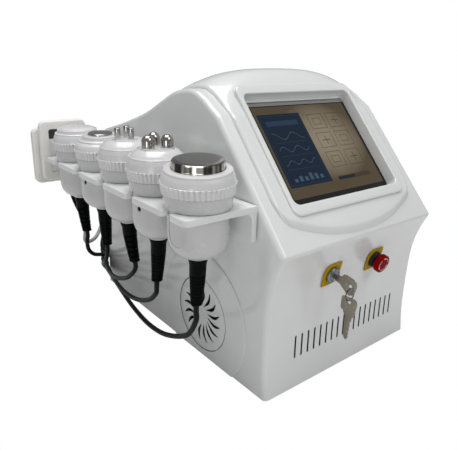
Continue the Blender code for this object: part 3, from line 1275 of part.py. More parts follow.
def hand_cap(name, number, parent):
    """Fluted ring with its cap, hollow below, with an opening for the head."""
    collar = COLLAR_RADIUS[number]
    rows = cap_profile(number)
    top = COLLAR_TOP + rows[-1][1]
    opening = HEAD_RADIUS[number] + DISC_CLEARANCE
    bm = bmesh.new()

    def plain(radius, height):
        return ring_of(bm, [(x, y, height) for x, y in circle(radius, FLUTE_COUNT)])

    def fluted(radius, height):
        points = []
        for i in range(2 * FLUTE_COUNT):
            r = radius if i % 2 == 0 else radius - FLUTE_DEPTH
            a = pi * i / FLUTE_COUNT
            points.append((r * cos(a), r * sin(a), height))
        return ring_of(bm, points)

    def step_down(wide, narrow):
        """Join a ring of twice the points to a plain ring."""
        count = len(narrow)
        for i in range(count):
            j = (i + 1) % count
            bm.faces.new((wide[2 * i], wide[2 * i + 1], narrow[i]))
            bm.faces.new((wide[2 * i + 1], narrow[j], narrow[i]))
            bm.faces.new((wide[2 * i + 1], wide[(2 * i + 2) % (2 * count)], narrow[j]))
    wall = collar - CAP_WALL
    under = plain(wall, COLLAR_BOTTOM)
    low = fluted(collar - FLUTE_DEPTH / 4, COLLAR_BOTTOM)
    high = fluted(collar, COLLAR_TOP - FLUTE_DEPTH)
    rim = plain(collar - FLUTE_DEPTH / 3, COLLAR_TOP)
    step_down(low, under)
    bridge(bm, low, high)
    step_down(high, rim)
    rings = [rim] + [plain(collar * share, COLLAR_TOP + rise) for share, rise in rows]
    rings.append(plain(opening, top))
    ledge = COLLAR_TOP - CAP_WALL + 2 * GAP
    rings.append(plain(opening, ledge))
    rings.append(plain(wall - CAP_WALL, ledge))
    rings.append(plain(wall - CAP_WALL, COLLAR_BOTTOM + 2 * FLUTE_DEPTH))
    rings.append(plain(wall, COLLAR_BOTTOM + 2 * FLUTE_DEPTH))
    rings.append(under)
    for first, second in zip(rings, rings[1:]):
        bridge(bm, first, second)
    piece(name + "_cap", bm, "white_cap", parent)


STUD_RADIUS = (0.0086, 0.0045)
STUD_HEIGHT = (0.0185, 0.0160)
STUD_CIRCLE = (0.0150, 0.0115)
STUD_COUNT = (3, 3)
STUD_TURN = (radians(-47), radians(52))
CARRIER_SINK = 0.0020
DISC_PROUD = 0.0109
DISC_EDGE = 0.0018


def hand_head(name, number, parent):
    """What touches the skin: a steel disc, bullet studs, pins, a small disc or a white dome."""
    radius = HEAD_RADIUS[number]
    base = COLLAR_TOP - CAP_WALL + GAP
    top = COLLAR_TOP + cap_profile(number)[-1][1]
    finish = "chrome"
    if number == 0:
        face = CAP_TOP + DISC_PROUD + FLUTE_DEPTH
        profile = [(0, base), (radius, base), (radius, CAP_TOP + FLUTE_DEPTH), (radius, face - DISC_EDGE),
                   (radius - DISC_EDGE * 1.5, face), (0, face)]
        bm = lathe(profile)
    elif number == 3:
        profile = [(0, base), (radius, base), (radius, top + DISC_EDGE), (radius - DISC_EDGE, top + 2 * DISC_EDGE),
                   (0, top + 2 * DISC_EDGE)]
        bm = lathe(profile)
    elif number == 4:
        finish = "white_cap"
        crown = top + DISC_PROUD * 0.35
        profile = [(0, base), (radius, base), (radius, top)]
        profile += [(radius * cos(a), top + (crown - top) * sin(a)) for a in (pi / 8, pi / 4, 3 * pi / 8)]
        profile += [(0, crown)]
        bm = lathe(profile)
    else:
        finish = "chrome"
        kind = number - 1
        carrier = top - CARRIER_SINK
        bm = lathe([(0, base), (radius, base), (radius, carrier), (0, carrier)])
    made = piece(name + "_head", bm, finish, parent)
    if number in (1, 2):
        kind = number - 1
        studs = bmesh.new()
        r, tall = STUD_RADIUS[kind], STUD_HEIGHT[kind]
        for i in range(STUD_COUNT[kind]):
            a = 2 * pi * i / STUD_COUNT[kind] + STUD_TURN[kind]
            x, y = STUD_CIRCLE[kind] * cos(a), STUD_CIRCLE[kind] * sin(a)
            start = top - 2 * CARRIER_SINK
            straight = top + tall - r
            profile = [(0, start), (r * 0.94, start), (r, straight)]
            profile += [(r * cos(b), straight + r * sin(b)) for b in (pi / 6, pi / 3)]
            profile += [(0, straight + r)]
            lathe(profile, ROD_SIDES, studs, (x, y))
        cut(made, studs, name + "_studs", "UNION")


def relief_profile(length, ribbed):
    """Tapered rubber sleeve hanging from zero: a flared top, a plain part and ribs."""
    plain = length * RELIEF_PLAIN_SHARE
    depth = RIB_DEPTH if ribbed else RIB_DEPTH / 2
    profile = [(0, 0.0), (RELIEF_TOP_RADIUS, 0.0), (RELIEF_WAIST_RADIUS, -RELIEF_FLARE)]
    pitch = (length - plain) / (RIB_COUNT + 0.5)
    for i in range(RIB_COUNT):
        top = -plain - i * pitch
        share = (i + 0.5) / RIB_COUNT
        radius = RELIEF_WAIST_RADIUS + (RELIEF_END_RADIUS - RELIEF_WAIST_RADIUS) * share
        profile += [(radius, top), (radius, top - pitch * 0.5), (radius - depth, top - pitch * 0.5),
                    (radius - depth, top - pitch)]
    profile += [(RELIEF_END_RADIUS, -plain - RIB_COUNT * pitch), (RELIEF_END_RADIUS, -length), (0, -length)]
    return profile


def handpiece(number, parent):
    name = "hand" + str(number + 1)
    frame = empty(name + "_frame", parent, (HAND_X[number], HAND_Y[number], 0.0))
    hand_body(name, number, frame)
    hand_cap(name, number, frame)
    hand_head(name, number, frame)
    sleeve = relief_profile(RELIEF_LENGTH, number in (2, 4))
    relief = piece(name + "_relief", lathe(sleeve, ROD_SIDES), "black_rubber", frame)
    relief.location = (0, 0, HAND_NECK_HEIGHT - GAP)


def paddle_slab(width, height, depth, middle_x, bottom, front, edge):
    """Upright rounded slab with softened front and back edges."""
    rings = []
    for inset, y in ((edge, 0.0), (edge * 0.3, edge * 0.3), (0.0, edge), (0.0, depth - edge),
                     (edge * 0.3, depth - edge * 0.3), (edge, depth)):
        outline = rounded_rectangle(width - 2 * inset, height - 2 * inset, PADDLE_RADIUS - inset * 0.8, 3,
                                    middle_x, bottom + height / 2)
        rings.append([backward(a, b, front + y) for a, b in outline])
    return loft(rings)


def paddle(parent):
    """Sixth handpiece: a frame with a dark window in front of a back slab, and a neck in the shelf's slot."""
    frame = empty("hand6_frame", parent)
    front = PADDLE_Y - PADDLE_DEPTH / 2
    window = paddle_slab(PADDLE_WIDTH, PADDLE_HEIGHT, PADDLE_FRAME_DEPTH, PADDLE_X, PADDLE_BOTTOM, front, PADDLE_EDGE)
    face = piece("hand6_face", window, "ivory_plastic", frame)
    recess = rounded_rectangle(PADDLE_WIDTH - 2 * WINDOW_BORDER, PADDLE_HEIGHT - 2 * WINDOW_BORDER, PADDLE_EDGE, 2,
                               PADDLE_X, PADDLE_BOTTOM + PADDLE_HEIGHT / 2)
    cut(face, prism(recess, (backward, front - OVERRUN, front + WINDOW_DEPTH)), "window_recess")
    pane = rounded_rectangle(PADDLE_WIDTH - 2 * WINDOW_BORDER - 2 * GAP, PADDLE_HEIGHT - 2 * WINDOW_BORDER - 2 * GAP,
                             PADDLE_EDGE - GAP, 2, PADDLE_X, PADDLE_BOTTOM + PADDLE_HEIGHT / 2)
    piece("hand6_window", prism(pane, (backward, front + WINDOW_DEPTH / 2, front + WINDOW_DEPTH - GAP)),
          "dark_glass", frame)
    back_front = front + PADDLE_FRAME_DEPTH + PADDLE_JOINT_GAP
    back = paddle_slab(PADDLE_WIDTH, PADDLE_HEIGHT - PADDLE_BACK_DROP / 2, PADDLE_BACK_DEPTH,
                       PADDLE_X - PADDLE_BACK_SHIFT, PADDLE_BOTTOM - PADDLE_BACK_DROP / 2, back_front, PADDLE_EDGE)
    body = piece("hand6_body", back, "ivory_plastic", frame)
    web = rounded_rectangle(PADDLE_WIDTH - 4 * PADDLE_RADIUS, PADDLE_HEIGHT - 4 * PADDLE_RADIUS, PADDLE_RADIUS, 2,
                            PADDLE_X, PADDLE_BOTTOM + PADDLE_HEIGHT / 2)
    cut(body, prism(web, (backward, back_front - PADDLE_JOINT_GAP + GAP, back_front + PADDLE_BACK_DEPTH / 2)),
        "paddle_web", "UNION")
    neck = [(rounded_rectangle(PADDLE_NECK_WIDTH * s, PADDLE_NECK_DEPTH * s, PADDLE_EDGE, 2, PADDLE_NECK_X, PADDLE_Y), z)
            for s, z in ((0.86, HAND_NECK_HEIGHT), (1.0, HAND_NECK_HEIGHT + PADDLE_RADIUS),
                         (1.0, PADDLE_BOTTOM - GAP))]
    rings = [[upward(a, b, z) for a, b in line] for line, z in neck]
    high = [(a, max(b, back_front + PADDLE_EDGE)) for a, b in neck[-1][0]]
    rings.append([upward(a, b, neck[-1][1]) for a, b in high])
    rings.append([upward(a, b, PADDLE_BOTTOM + PADDLE_RADIUS) for a, b in high])
    cut(body, loft(rings), "paddle_neck", "UNION")
    back_face = PADDLE_Y + PADDLE_DEPTH / 2
    border = WINDOW_BORDER * 0.8
    inner = PADDLE_X + PADDLE_WIDTH / 2 - WINDOW_BORDER / 2
    cut(face, lug(inner, border, front - PADDLE_LUG_LENGTH, front + WINDOW_DEPTH), "front_lug", "UNION")
    cut(body, lug(PADDLE_NECK_X, PADDLE_LUG_WIDTH, back_face - PADDLE_EDGE, back_face + PADDLE_LUG_LENGTH),
        "back_lug", "UNION")
    sleeve = [(r * 0.86, z) for r, z in relief_profile(RELIEF_LENGTH * 0.9, True)]
    relief = piece("hand6_relief", lathe(sleeve, ROD_SIDES), "black_rubber", frame)
    relief.location = (PADDLE_NECK_X, PADDLE_Y, HAND_NECK_HEIGHT - GAP)


def lug(middle, width, near, far):
    """Bar that rests on the shelf beside the paddle's slot."""
    half = width / 2
    low = SHELF_TOP + GAP
    return box_between((middle - half, near, low), (middle + half, far, low + PADDLE_LUG_HEIGHT))


# Leads

def smooth_route(points, step):
    """Even points along a smooth curve through the chosen ones."""
    knots = [Vector(p) for p in points]
    fine = []
    for i in range(len(knots) - 1):
        p0 = knots[i - 1] if i else knots[0] * 2 - knots[1]
        p1, p2 = knots[i], knots[i + 1]
        p3 = knots[i + 2] if i + 2 < len(knots) else knots[-1] * 2 - knots[-2]
        for k in range(16):
            u = k / 16
            fine.append(0.5 * (2 * p1 + (p2 - p0) * u + (2 * p0 - 5 * p1 + 4 * p2 - p3) * u ** 2
                               + (3 * p1 - p0 - 3 * p2 + p3) * u ** 3))
    fine.append(knots[-1])
    total = sum((b - a).length for a, b in zip(fine, fine[1:]))
    count = max(2, round(total / step))
    even, walked, target = [fine[0]], 0.0, total / count
    for a, b in zip(fine, fine[1:]):
        length = (b - a).length
        while walked + length >= target - GAP / 1000 and len(even) < count:
            even.append(a.lerp(b, (target - walked) / length))
            target += total / count
        walked += length
    even.append(fine[-1])
    return even


def lead_route(number):
    """Route of a lead: straight out of its strain relief, the hanging loop, round the rear corner, to its plug."""
    x, y, z = socket_place(number - 1)
    if number == 6:
        start = Vector((PADDLE_NECK_X, PADDLE_Y, HAND_NECK_HEIGHT - 2 * GAP - RELIEF_LENGTH * 0.9))
    else:
        start = Vector((HAND_X[number - 1], HAND_Y[number - 1], HAND_NECK_HEIGHT - 2 * GAP - RELIEF_LENGTH))
    points = [start + Vector((0, 0, -LEAD_STEP / 2))] + [Vector(p) for p in LEAD_ROUTES[number]]
    corner_z = points[-1].z
    if number < 6:
        for share, (cx, cy) in zip((0.15, 0.5), LEAD_CORNER_POINTS):
            points.append(Vector((cx, cy, corner_z + (z - corner_z) * share)))
    else:
        cx, cy = LEAD_CORNER_POINTS[-1]
        points.append(Vector((cx, cy + GAP, corner_z + (z - corner_z) * 0.6)))
    points.append(Vector((LEAD_LAST_POINT[0], LEAD_LAST_POINT[1], z - (z - corner_z) * 0.06)))
    points.append(Vector((x, y + PLUG_LENGTH + PLUG_NECK, z)))
    return start, points


def lead(number, parent):
    """Round lead with its plug as one solid: a tube whose radius grows at the plug."""
    x, y, z = socket_place(number - 1)
    start, points = lead_route(number)
    line = [start] + smooth_route(points, LEAD_STEP)
    radii = [LEAD_RADIUS] * len(line)
    line += [Vector((x, y + PLUG_LENGTH, z)), Vector((x, y + GAP, z))]
    radii += [PLUG_RADIUS, PLUG_RADIUS]
    curve = bpy.data.curves.new("lead" + str(number), "CURVE")
    curve.dimensions = "3D"
    curve.bevel_depth = 1.0
    curve.bevel_resolution = 2
    curve.use_fill_caps = True
    spline = curve.splines.new("POLY")
    spline.points.add(len(line) - 1)
    for point, place, radius in zip(spline.points, line, radii):
        point.co = (*place, 1)
        point.radius = radius
    curve.materials.append(material("grey_rubber" if number == 6 else "black_rubber"))
    made = bpy.data.objects.new("lead" + str(number), curve)
    bpy.context.scene.collection.objects.link(made)
    made.parent = parent


def centre_on_origin(root):
    """Move the machine so that its origin is the bottom centre of all its pieces but the leads."""
    bpy.context.view_layer.update()
    graph = bpy.context.evaluated_depsgraph_get()
    corners = []
    for thing in bpy.context.scene.objects:
        if thing.type == "MESH" and not thing.hide_render:
            solid = thing.evaluated_get(graph)
            mesh = solid.to_mesh()
            corners += [thing.matrix_world @ v.co for v in mesh.vertices]
            solid.to_mesh_clear()
    low = [min(c[i] for c in corners) for i in range(3)]
    high = [max(c[i] for c in corners) for i in range(3)]
    root.location = (-(low[0] + high[0]) / 2, -(low[1] + high[1]) / 2, -low[2])
    bpy.context.view_layer.update()


def main():
    for thing in list(bpy.data.objects):
        bpy.data.objects.remove(thing, do_unlink=True)
    machine = empty("machine", None)
    housing(machine)
    screen_surround(machine)
    screen_bezel(machine)
    screen_panes(machine)
    fan_grille(machine)
    fan(machine)
    emergency_stop(machine)
    key_switch(machine)
    base_plate(machine)
    feet(machine)
    rear_panel(machine)
    power_entry(machine)
    inner_units(machine)
    holder_shelf(machine)
    for number in range(5):
        handpiece(number, machine)
    paddle(machine)
    for number in range(1, 7):
        lead(number, machine)
    centre_on_origin(machine)


main()
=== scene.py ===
"""Looks of the desktop body-care machine: fine shells, handpieces, controls, leads, finishes and stage."""
from math import pi, sin, cos, tan, asin, atan2, sqrt, radians, hypot

import bpy
from mathutils import Matrix, Vector


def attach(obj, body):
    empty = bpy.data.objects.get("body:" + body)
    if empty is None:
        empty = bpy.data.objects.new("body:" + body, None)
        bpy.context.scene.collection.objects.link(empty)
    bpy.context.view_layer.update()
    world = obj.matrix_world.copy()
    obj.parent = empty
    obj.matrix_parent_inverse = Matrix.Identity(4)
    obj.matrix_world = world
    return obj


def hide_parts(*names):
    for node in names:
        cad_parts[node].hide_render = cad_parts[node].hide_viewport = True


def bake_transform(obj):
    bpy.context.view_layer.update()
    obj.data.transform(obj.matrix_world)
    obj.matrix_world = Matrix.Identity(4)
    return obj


bl_info = {
    "name": "Sloped Console with Handpieces",
    "version": (1, 0, 0),
    "blender": (4, 5, 0),
    "location": "View3D > Sidebar > Console",
    "description": "Builds the fine pieces, finishes and stage of a desktop console round its packed frame",
    "category": "Add Mesh",
}

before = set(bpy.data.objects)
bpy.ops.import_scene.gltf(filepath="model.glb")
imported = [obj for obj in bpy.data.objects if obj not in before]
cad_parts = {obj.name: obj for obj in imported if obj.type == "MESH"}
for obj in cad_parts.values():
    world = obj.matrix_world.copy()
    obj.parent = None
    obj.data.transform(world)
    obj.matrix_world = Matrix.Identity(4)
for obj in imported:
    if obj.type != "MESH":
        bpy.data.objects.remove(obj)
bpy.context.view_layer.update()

# Where the machine's front bottom left corner lies in the frame
AT = Vector((-0.1015, -0.240411, 0.005))
GAP = 0.0003

# Housing, as in the part
BODY_WIDTH, BODY_DEPTH = 0.330, 0.480
CREST_HEIGHT, REAR_TOP_HEIGHT, REAR_LEAN = 0.4083, 0.320, 0.010
CHIN_HEIGHT, CHIN_OVERHANG, CHIN_RADIUS = 0.2175, 0.0197, 0.006
SLOPE_ANGLE, SLOPE_LENGTH = radians(49.45), 0.208
SHELL_WALL, PART_EDGE = 0.004, 0.009
FRONT_CURVE = ((0, 0), (0.20, 0.156), (0.25, 0.30), (0.23, 0.48), (0.16, 0.65), (-0.03, 0.77), (-0.32, 0.86),
               (-0.62, 0.933))
CREST_RISE_RUN = 0.0695
CREST_RISE = ((0.255, 0.760), (0.490, 0.880), (0.755, 0.973), (1.0, 1.0))
CREST_FALL = ((0.072, 0.981), (0.148, 0.927), (0.218, 0.838), (0.303, 0.714), (0.403, 0.565), (0.502, 0.445),
              (0.627, 0.320), (0.776, 0.180), (0.913, 0.070))
VENT_COUNT, VENT_PITCH, VENT_WIDTH, VENT_HEIGHT = 18, 0.0132, 0.0026, 0.036
VENT_MIDDLE_HEIGHT, VENT_SHIFT, VENT_WIDER = 0.063, 0.006, 0.0007
FAN_Y, FAN_Z = 0.147, 0.071
PAD_RADIUS, PAD_RISE, PAD_ROUND = 0.104, 0.002, 0.0016
GRILLE_RADIUS, GRILLE_THICKNESS, GRILLE_LEDGE, GRILLE_SEAM = 0.0595, 0.003, 0.009, 0.0007
SWIRL_COUNT, SWIRL_START, SWIRL_LENGTH = 16, 0.0170, 0.0300
SWIRL_TURN, SWIRL_BEND, SWIRL_HALF_TIP, SWIRL_HALF_SWELL = radians(3), 0.0052, 0.0004, 0.0022

# Screen surround, as in the part
SURROUND_MARGIN, SURROUND_RISE, SURROUND_ROUND = 0.021, 0.005, 0.005
SURROUND_BOTTOM, SURROUND_ARC_RISE = 0.0075, 0.038
SURROUND_CORNER_WIDTH, SURROUND_CORNER_HEIGHT = 0.0144, 0.034
HUMP_RISE, HUMP_BLEND, HUMP_FLAT_LENGTH, HUMP_POWER = 0.0225, 0.014, 0.020, 3.0
OPENING_WIDTH, OPENING_HEIGHT = 0.225, 0.1755
# Width, height and corner radius
OPENING, BEZEL = (OPENING_WIDTH, OPENING_HEIGHT, 0.010), (0.242, 0.207, 0.014)
BEZEL_MIDDLE = 0.150
BEZEL_PROUD, BEZEL_REBATE, SLEEVE_WALL, SLEEVE_DEPTH = 0.003, 0.003, 0.0026, 0.014
BEZEL_EDGE, BEZEL_LIP = 0.0024, 0.0016
GLASS_MARGIN, GLASS_THICKNESS = 0.0026, 0.0022

# Controls, as in the part
CONTROL_HEIGHT, CONTROL_SPREAD = 0.1625, 0.097
CONTROL_Y, CONTROL_TILT = -0.000789, radians(11.1018)
PLATE_SIZE, PLATE_THICKNESS, PLATE_ROUND, PLATE_TIP = 0.0345, 0.0012, 0.0125, 0.0012
KEY_BORE, ESTOP_BORE = 0.0091, 0.0081
# Inner ends of the barrels, heights over the plates, and the gap below the stop's head
LOCK_END, ESTOP_END, LOCK_PROUD, COLLAR_PROUD, HEAD_CLEARANCE = -0.026, -0.030, 0.0048, 0.0050, 0.0036
KEY_X, ESTOP_X = BODY_WIDTH / 2 - CONTROL_SPREAD / 2, BODY_WIDTH / 2 + CONTROL_SPREAD / 2
# Ring holes: of the key, out from the control's frame, and of the spare key
KEY_HOLE_OUT, SPARE_HOLE = 0.0353, (KEY_X, -0.035428, 0.1335)

# Shelf, as in the part
SHELF_TOP, SHELF_THICKNESS, SHELF_REACH, SHELF_FRONT = 0.275, 0.0078, 0.111, 0.028
SHELF_FLANGE_HEIGHT, SHELF_FLANGE_THICKNESS, SHELF_FLANGE_END = 0.047, 0.008, 0.462
SHELF_FILLET, SHELF_CORNER, SHELF_INNER_SETBACK, SHELF_TAIL = 0.010, 0.009, 0.018, 0.035
PRONG_RADIUS, LEAD_SLOT_WIDTH, SEAT_CLEARANCE = 0.005, 0.0165, 0.0010

# Handpieces, as in the part
HAND_X = (-0.0620, -0.0655, -0.0660, -0.0655, -0.0685)
HAND_Y = (0.072, 0.164, 0.253, 0.342, 0.431)
HAND_AT = tuple(zip(HAND_X, HAND_Y))
COLLAR_RADIUS = (0.0485, 0.0432, 0.0432, 0.0432, 0.0432)
SEAT_RADIUS = (0.0400, 0.0362, 0.0362, 0.0362, 0.0362)
HEAD_RADIUS = (0.0336, 0.0243, 0.0175, 0.0195, 0.0300)
NECK_HEIGHT, NECK_RADIUS, BULB_HEIGHT, BULB_FULLNESS = 0.206, 0.0135, 0.240, 0.80
COLLAR_BOTTOM, COLLAR_TOP, CAP_TOP = 0.2932, 0.3080, 0.3215
CAP_WALL, CAP_FLARE = 0.0045, 0.0026
SEAM_HALF, SEAM_DEPTH = 0.0009, 0.00035
# Top of the body's inner rim, on which cap and head rest
INNER_RIM_TOP = COLLAR_TOP - 0.0045
STUDS = {1: (0.0086, 0.0190, 0.0150, radians(-47)), 2: (0.0045, 0.0178, 0.0115, radians(52))}
# Slope of each top, and the direction in which it rises
TOP_SLOPE = (0.075, 0.030, 0.030, 0.050, 0.030)
RISES_TOWARDS = (0.61, 0.79)
RELIEF_LENGTH = 0.066
# Sideways lean of each sleeve's tip
RELIEF_LEAN = {1: (-0.0015, 0.0012), 2: (-0.0030, 0.0023), 3: (0.0055, -0.0043), 4: (0.0010, -0.0008),
               5: (0.0040, -0.0030), 6: (0.0150, -0.0030)}
PADDLE_X, PADDLE_Y, PADDLE_WIDTH, PADDLE_HEIGHT, PADDLE_BOTTOM = -0.075, 0.494, 0.086, 0.108, 0.231
PADDLE_RADIUS, PADDLE_FRAME_DEPTH, PADDLE_BACK_DEPTH = 0.011, 0.012, 0.013
PADDLE_BACK_SHIFT, PADDLE_BACK_DROP, PADDLE_JOINT_GAP = 0.009, 0.014, 0.0032
PADDLE_DEPTH = PADDLE_FRAME_DEPTH + PADDLE_JOINT_GAP + PADDLE_BACK_DEPTH
PADDLE_NECK_X, PADDLE_NECK_WIDTH, PADDLE_NECK_DEPTH = -0.058, 0.030, 0.018
PADDLE_RELIEF_LENGTH, PADDLE_RELIEF_SCALE, PADDLE_EDGE = RELIEF_LENGTH * 0.9, 0.86, 0.0032
WINDOW_BORDER, WINDOW_DEPTH = 0.015, 0.004

# Leads: the routes of the part
LEAD_RADIUS = 0.0038
SOCKET_X, SOCKET_LOWEST, SOCKET_PITCH, SOCKET_Y = 0.060, 0.034, 0.0215, 0.479
PLUG_RADIUS, PLUG_LENGTH, PLUG_NECK = 0.0080, 0.026, 0.004
LEAD_ROUTES = {
    1: ((-0.0620, 0.074, 0.112), (-0.0610, 0.100, 0.078), (-0.0600, 0.158, 0.050), (-0.0560, 0.216, 0.038),
        (-0.0480, 0.279, 0.035), (-0.0360, 0.345, 0.034), (-0.0210, 0.415, 0.032), (-0.0085, 0.474, 0.030)),
    2: ((-0.0655, 0.169, 0.116), (-0.0635, 0.196, 0.094), (-0.0610, 0.240, 0.074), (-0.0550, 0.290, 0.061),
        (-0.0430, 0.350, 0.051), (-0.0260, 0.415, 0.044), (-0.0085, 0.474, 0.0385)),
    3: ((-0.0660, 0.258, 0.118), (-0.0630, 0.282, 0.098), (-0.0560, 0.325, 0.079), (-0.0430, 0.380, 0.063),
        (-0.0270, 0.430, 0.053), (-0.0085, 0.474, 0.047)),
    4: ((-0.0655, 0.345, 0.118), (-0.0620, 0.360, 0.099), (-0.0510, 0.392, 0.080), (-0.0310, 0.437, 0.065),
        (-0.0085, 0.474, 0.0555)),
    5: ((-0.0685, 0.433, 0.116), (-0.0620, 0.438, 0.097), (-0.0460, 0.448, 0.081), (-0.0270, 0.461, 0.071),
        (-0.0085, 0.475, 0.064)),
    6: ((-0.0560, 0.496, 0.111), (-0.0480, 0.501, 0.093), (-0.0290, 0.510, 0.084), (-0.0070, 0.522, 0.088)),
}
LEAD_CORNER = ((-0.003, 0.506), (0.020, 0.533))
LEAD_LAST = (0.050, 0.531)


# Shader maths

class Field:
    """A value that varies over a surface; the operators add Math nodes."""

    def __init__(self, graph, socket):
        self.graph, self.socket = graph, socket

    def _math(self, operation, *values):
        return self.graph.node("ShaderNodeMath", {"operation": operation}, values)

    def __add__(self, other):
        return self._math("ADD", self, other)

    def __radd__(self, other):
        return self._math("ADD", other, self)

    def __sub__(self, other):
        return self._math("SUBTRACT", self, other)

    def __rsub__(self, other):
        return self._math("SUBTRACT", other, self)

    def __mul__(self, other):
        return self._math("MULTIPLY", self, other)

    def __rmul__(self, other):
        return self._math("MULTIPLY", other, self)

    def __abs__(self):
        return self._math("ABSOLUTE", self)

    def least(self, other):
        return self._math("MINIMUM", self, other)

    def most(self, other):
        return self._math("MAXIMUM", self, other)

    def sine(self):
        return self._math("SINE", self)

    def root(self):
        return self._math("SQRT", self)

    def step(self, low, high):
        """0 below low, 1 above high, smooth between."""
        return self.graph.node("ShaderNodeMapRange", {"interpolation_type": "SMOOTHSTEP"},
                               {"Value": self, "From Min": low, "From Max": high})


class Graph:
    """A tree of shader nodes."""

    def __init__(self, owner):
        owner.use_nodes = True
        self.tree = owner.node_tree

    def put(self, socket, value):
        """Put a number, a colour or a field on a socket."""
        if isinstance(value, Field):
            self.tree.links.new(value.socket, socket)
        else:
            socket.default_value = value

    def node(self, kind, settings=None, values=None, output=0):
        """Add a node: its settings first, then numbers or fields on its sockets."""
        made = self.tree.nodes.new(kind)
        for key, value in (settings or {}).items():
            setattr(made, key, value)
        pairs = values.items() if isinstance(values, dict) else enumerate(values or ())
        for key, value in pairs:
            self.put(made.inputs[key], value)
        return Field(self, made.outputs[output])


class Finish(Graph):
    """One material with its Principled shader."""

    def __init__(self, name, colour, roughness, metallic=0.0, coat=0.0, specular=0.5):
        self.material = bpy.data.materials.new(name)
        super().__init__(self.material)
        self.shader = self.tree.nodes["Principled BSDF"]
        self.set("Base Color", (*colour, 1.0))
        self.set("Roughness", roughness)
        self.set("Metallic", metallic)
        self.set("Coat Weight", coat)
        self.set("Coat Roughness", 0.08)
        self.set("Specular IOR Level", specular)

    def set(self, name, value):
        self.put(self.shader.inputs[name], value)

    def place(self):
        return self.node("ShaderNodeTexCoord", output="Object")

    def axis(self, number):
        """Object coordinate along X, Y or Z."""
        return self.node("ShaderNodeSeparateXYZ", None, [self.place()], number)

    def along(self, direction, origin):
        """Distance from a point along a direction."""
        moved = self.node("ShaderNodeVectorMath", {"operation": "SUBTRACT"}, [self.place(), tuple(origin)])
        return self.node("ShaderNodeVectorMath", {"operation": "DOT_PRODUCT"}, [moved, tuple(direction)],
                         "Value")

    def noise(self, scale, detail=2.0, rough=0.5, stretch=None):
        where = self.place()
        if stretch:
            where = self.node("ShaderNodeMapping", None, {"Vector": where, "Scale": stretch})
        return self.node("ShaderNodeTexNoise", None,
                         {"Vector": where, "Scale": scale, "Detail": detail, "Roughness": rough})

    def mix(self, factor, first, second):
        """Blend of two colours, on the mix node's colour sockets."""
        first, second = (c if isinstance(c, Field) else (*c, 1.0) for c in (first, second))
        return self.node("ShaderNodeMix", {"data_type": "RGBA"}, {0: factor, 6: first, 7: second}, 2)

    def bump(self, height, strength, distance=0.0005):
        values = {"Height": height, "Strength": strength, "Distance": distance}
        self.set("Normal", self.node("ShaderNodeBump", None, values, "Normal"))


def moulded_white(name, colour, roughness, coat, peel=0.05):
    """Painted or moulded white plastic: faint orange peel, faint mottling and a little handling dirt."""
    f = Finish(name, colour, roughness, coat=coat)
    cloud = f.noise(9.0, 3.0)
    shade = [c * 0.955 for c in colour]
    f.set("Base Color", f.mix(cloud.step(0.35, 0.75), colour, shade))
    f.set("Roughness", roughness + (f.noise(42.0, 3.0) - 0.5) * 0.10)
    f.bump(f.noise(20.0, 1.0), peel, 0.0020)
    return f.material


def metal(name, colour, roughness, grain, stretch, depth):
    """Metal with a fine grain along one direction and uneven polish."""
    f = Finish(name, colour, roughness, metallic=1.0)
    lines = f.noise(grain, 3.0, 0.6, stretch)
    dark, bright = [c * 0.80 for c in colour], [min(1.0, c * 1.18) for c in colour]
    f.set("Base Color", f.mix(lines.step(0.30, 0.75), dark, bright))
    f.set("Roughness", roughness + (f.noise(60.0, 3.0) - 0.5) * 0.14)
    f.bump(lines, depth, 0.0002)
    return f.material


def rubber(name, colour, roughness, shine=0.18):
    """Moulded rubber with a dull skin and dusty high spots."""
    f = Finish(name, colour, roughness, specular=shine)
    dust = f.noise(80.0, 4.0)
    f.set("Base Color", f.mix(dust.step(0.50, 0.85), colour, [c * 1.5 + 0.0006 for c in colour]))
    f.set("Roughness", roughness + (f.noise(130.0, 2.0) - 0.5) * 0.16)
    f.bump(f.noise(1500.0, 2.0), 0.12, 0.0002)
    return f.material


def turned_disc(name, centre, colour):
    """Polished disc: rings from turning on its face, and painted reflection in light and dark streaks round
    its edge.
    """
    f = Finish(name, colour, 0.16, metallic=1.0)
    x = f.axis(0) - centre[0]
    y = f.axis(1) - centre[1]
    far = (x * x + y * y).root()
    angle = f.node("ShaderNodeMath", {"operation": "ARCTAN2"}, [y, x])
    # Painted reflection: light and dark streaks in the edge ring's colour stand in for the surroundings
    # mirrored there.
    painted_reflection_streak = (angle * 11.0).sine() + (angle * 27.0 + 1.3).sine() * 0.7 + (angle * 5.0 + 0.4).sine()
    painted_reflection_streak = painted_reflection_streak.step(-1.4, 1.8)
    on_edge = far.step(HEAD_RADIUS[0] - 0.0024, HEAD_RADIUS[0] - 0.0008)
    face = f.mix(f.noise(6.0, 2.0).step(0.3, 0.7), colour, [c * 1.35 for c in colour])
    # Painted reflection: the edge ring's colour runs from dark to bright along the streaks.
    edge = f.mix(painted_reflection_streak, (0.06, 0.055, 0.05), (0.72, 0.69, 0.62))
    f.set("Base Color", f.mix(on_edge, face, edge))
    f.set("Roughness", 0.13 + f.noise(30.0, 3.0) * 0.10)
    f.bump((far * 9000.0).sine(), 0.03, 0.0001)
    return f.material


def mottled(name, colour, other, roughness, shine, blots, grain, depth):
    """Plastic or print with a fine grain and blots (scale, detail, low, high) of another shade."""
    f = Finish(name, colour, roughness, specular=shine)
    scale, detail, low, high = blots
    f.set("Base Color", f.mix(f.noise(scale, detail).step(low, high), colour, other))
    f.bump(f.noise(grain, 2.0), depth, 0.0002)
    return f.material


def circuit_board(name):
    f = Finish(name, (0.015, 0.14, 0.06), 0.45, coat=0.4)
    tracks = ((f.axis(0) * 1900.0).sine() * (f.axis(1) * 1300.0).sine()).step(0.15, 0.35)
    f.set("Base Color", f.mix(tracks, (0.012, 0.12, 0.05), (0.03, 0.24, 0.11)))
    return f.material


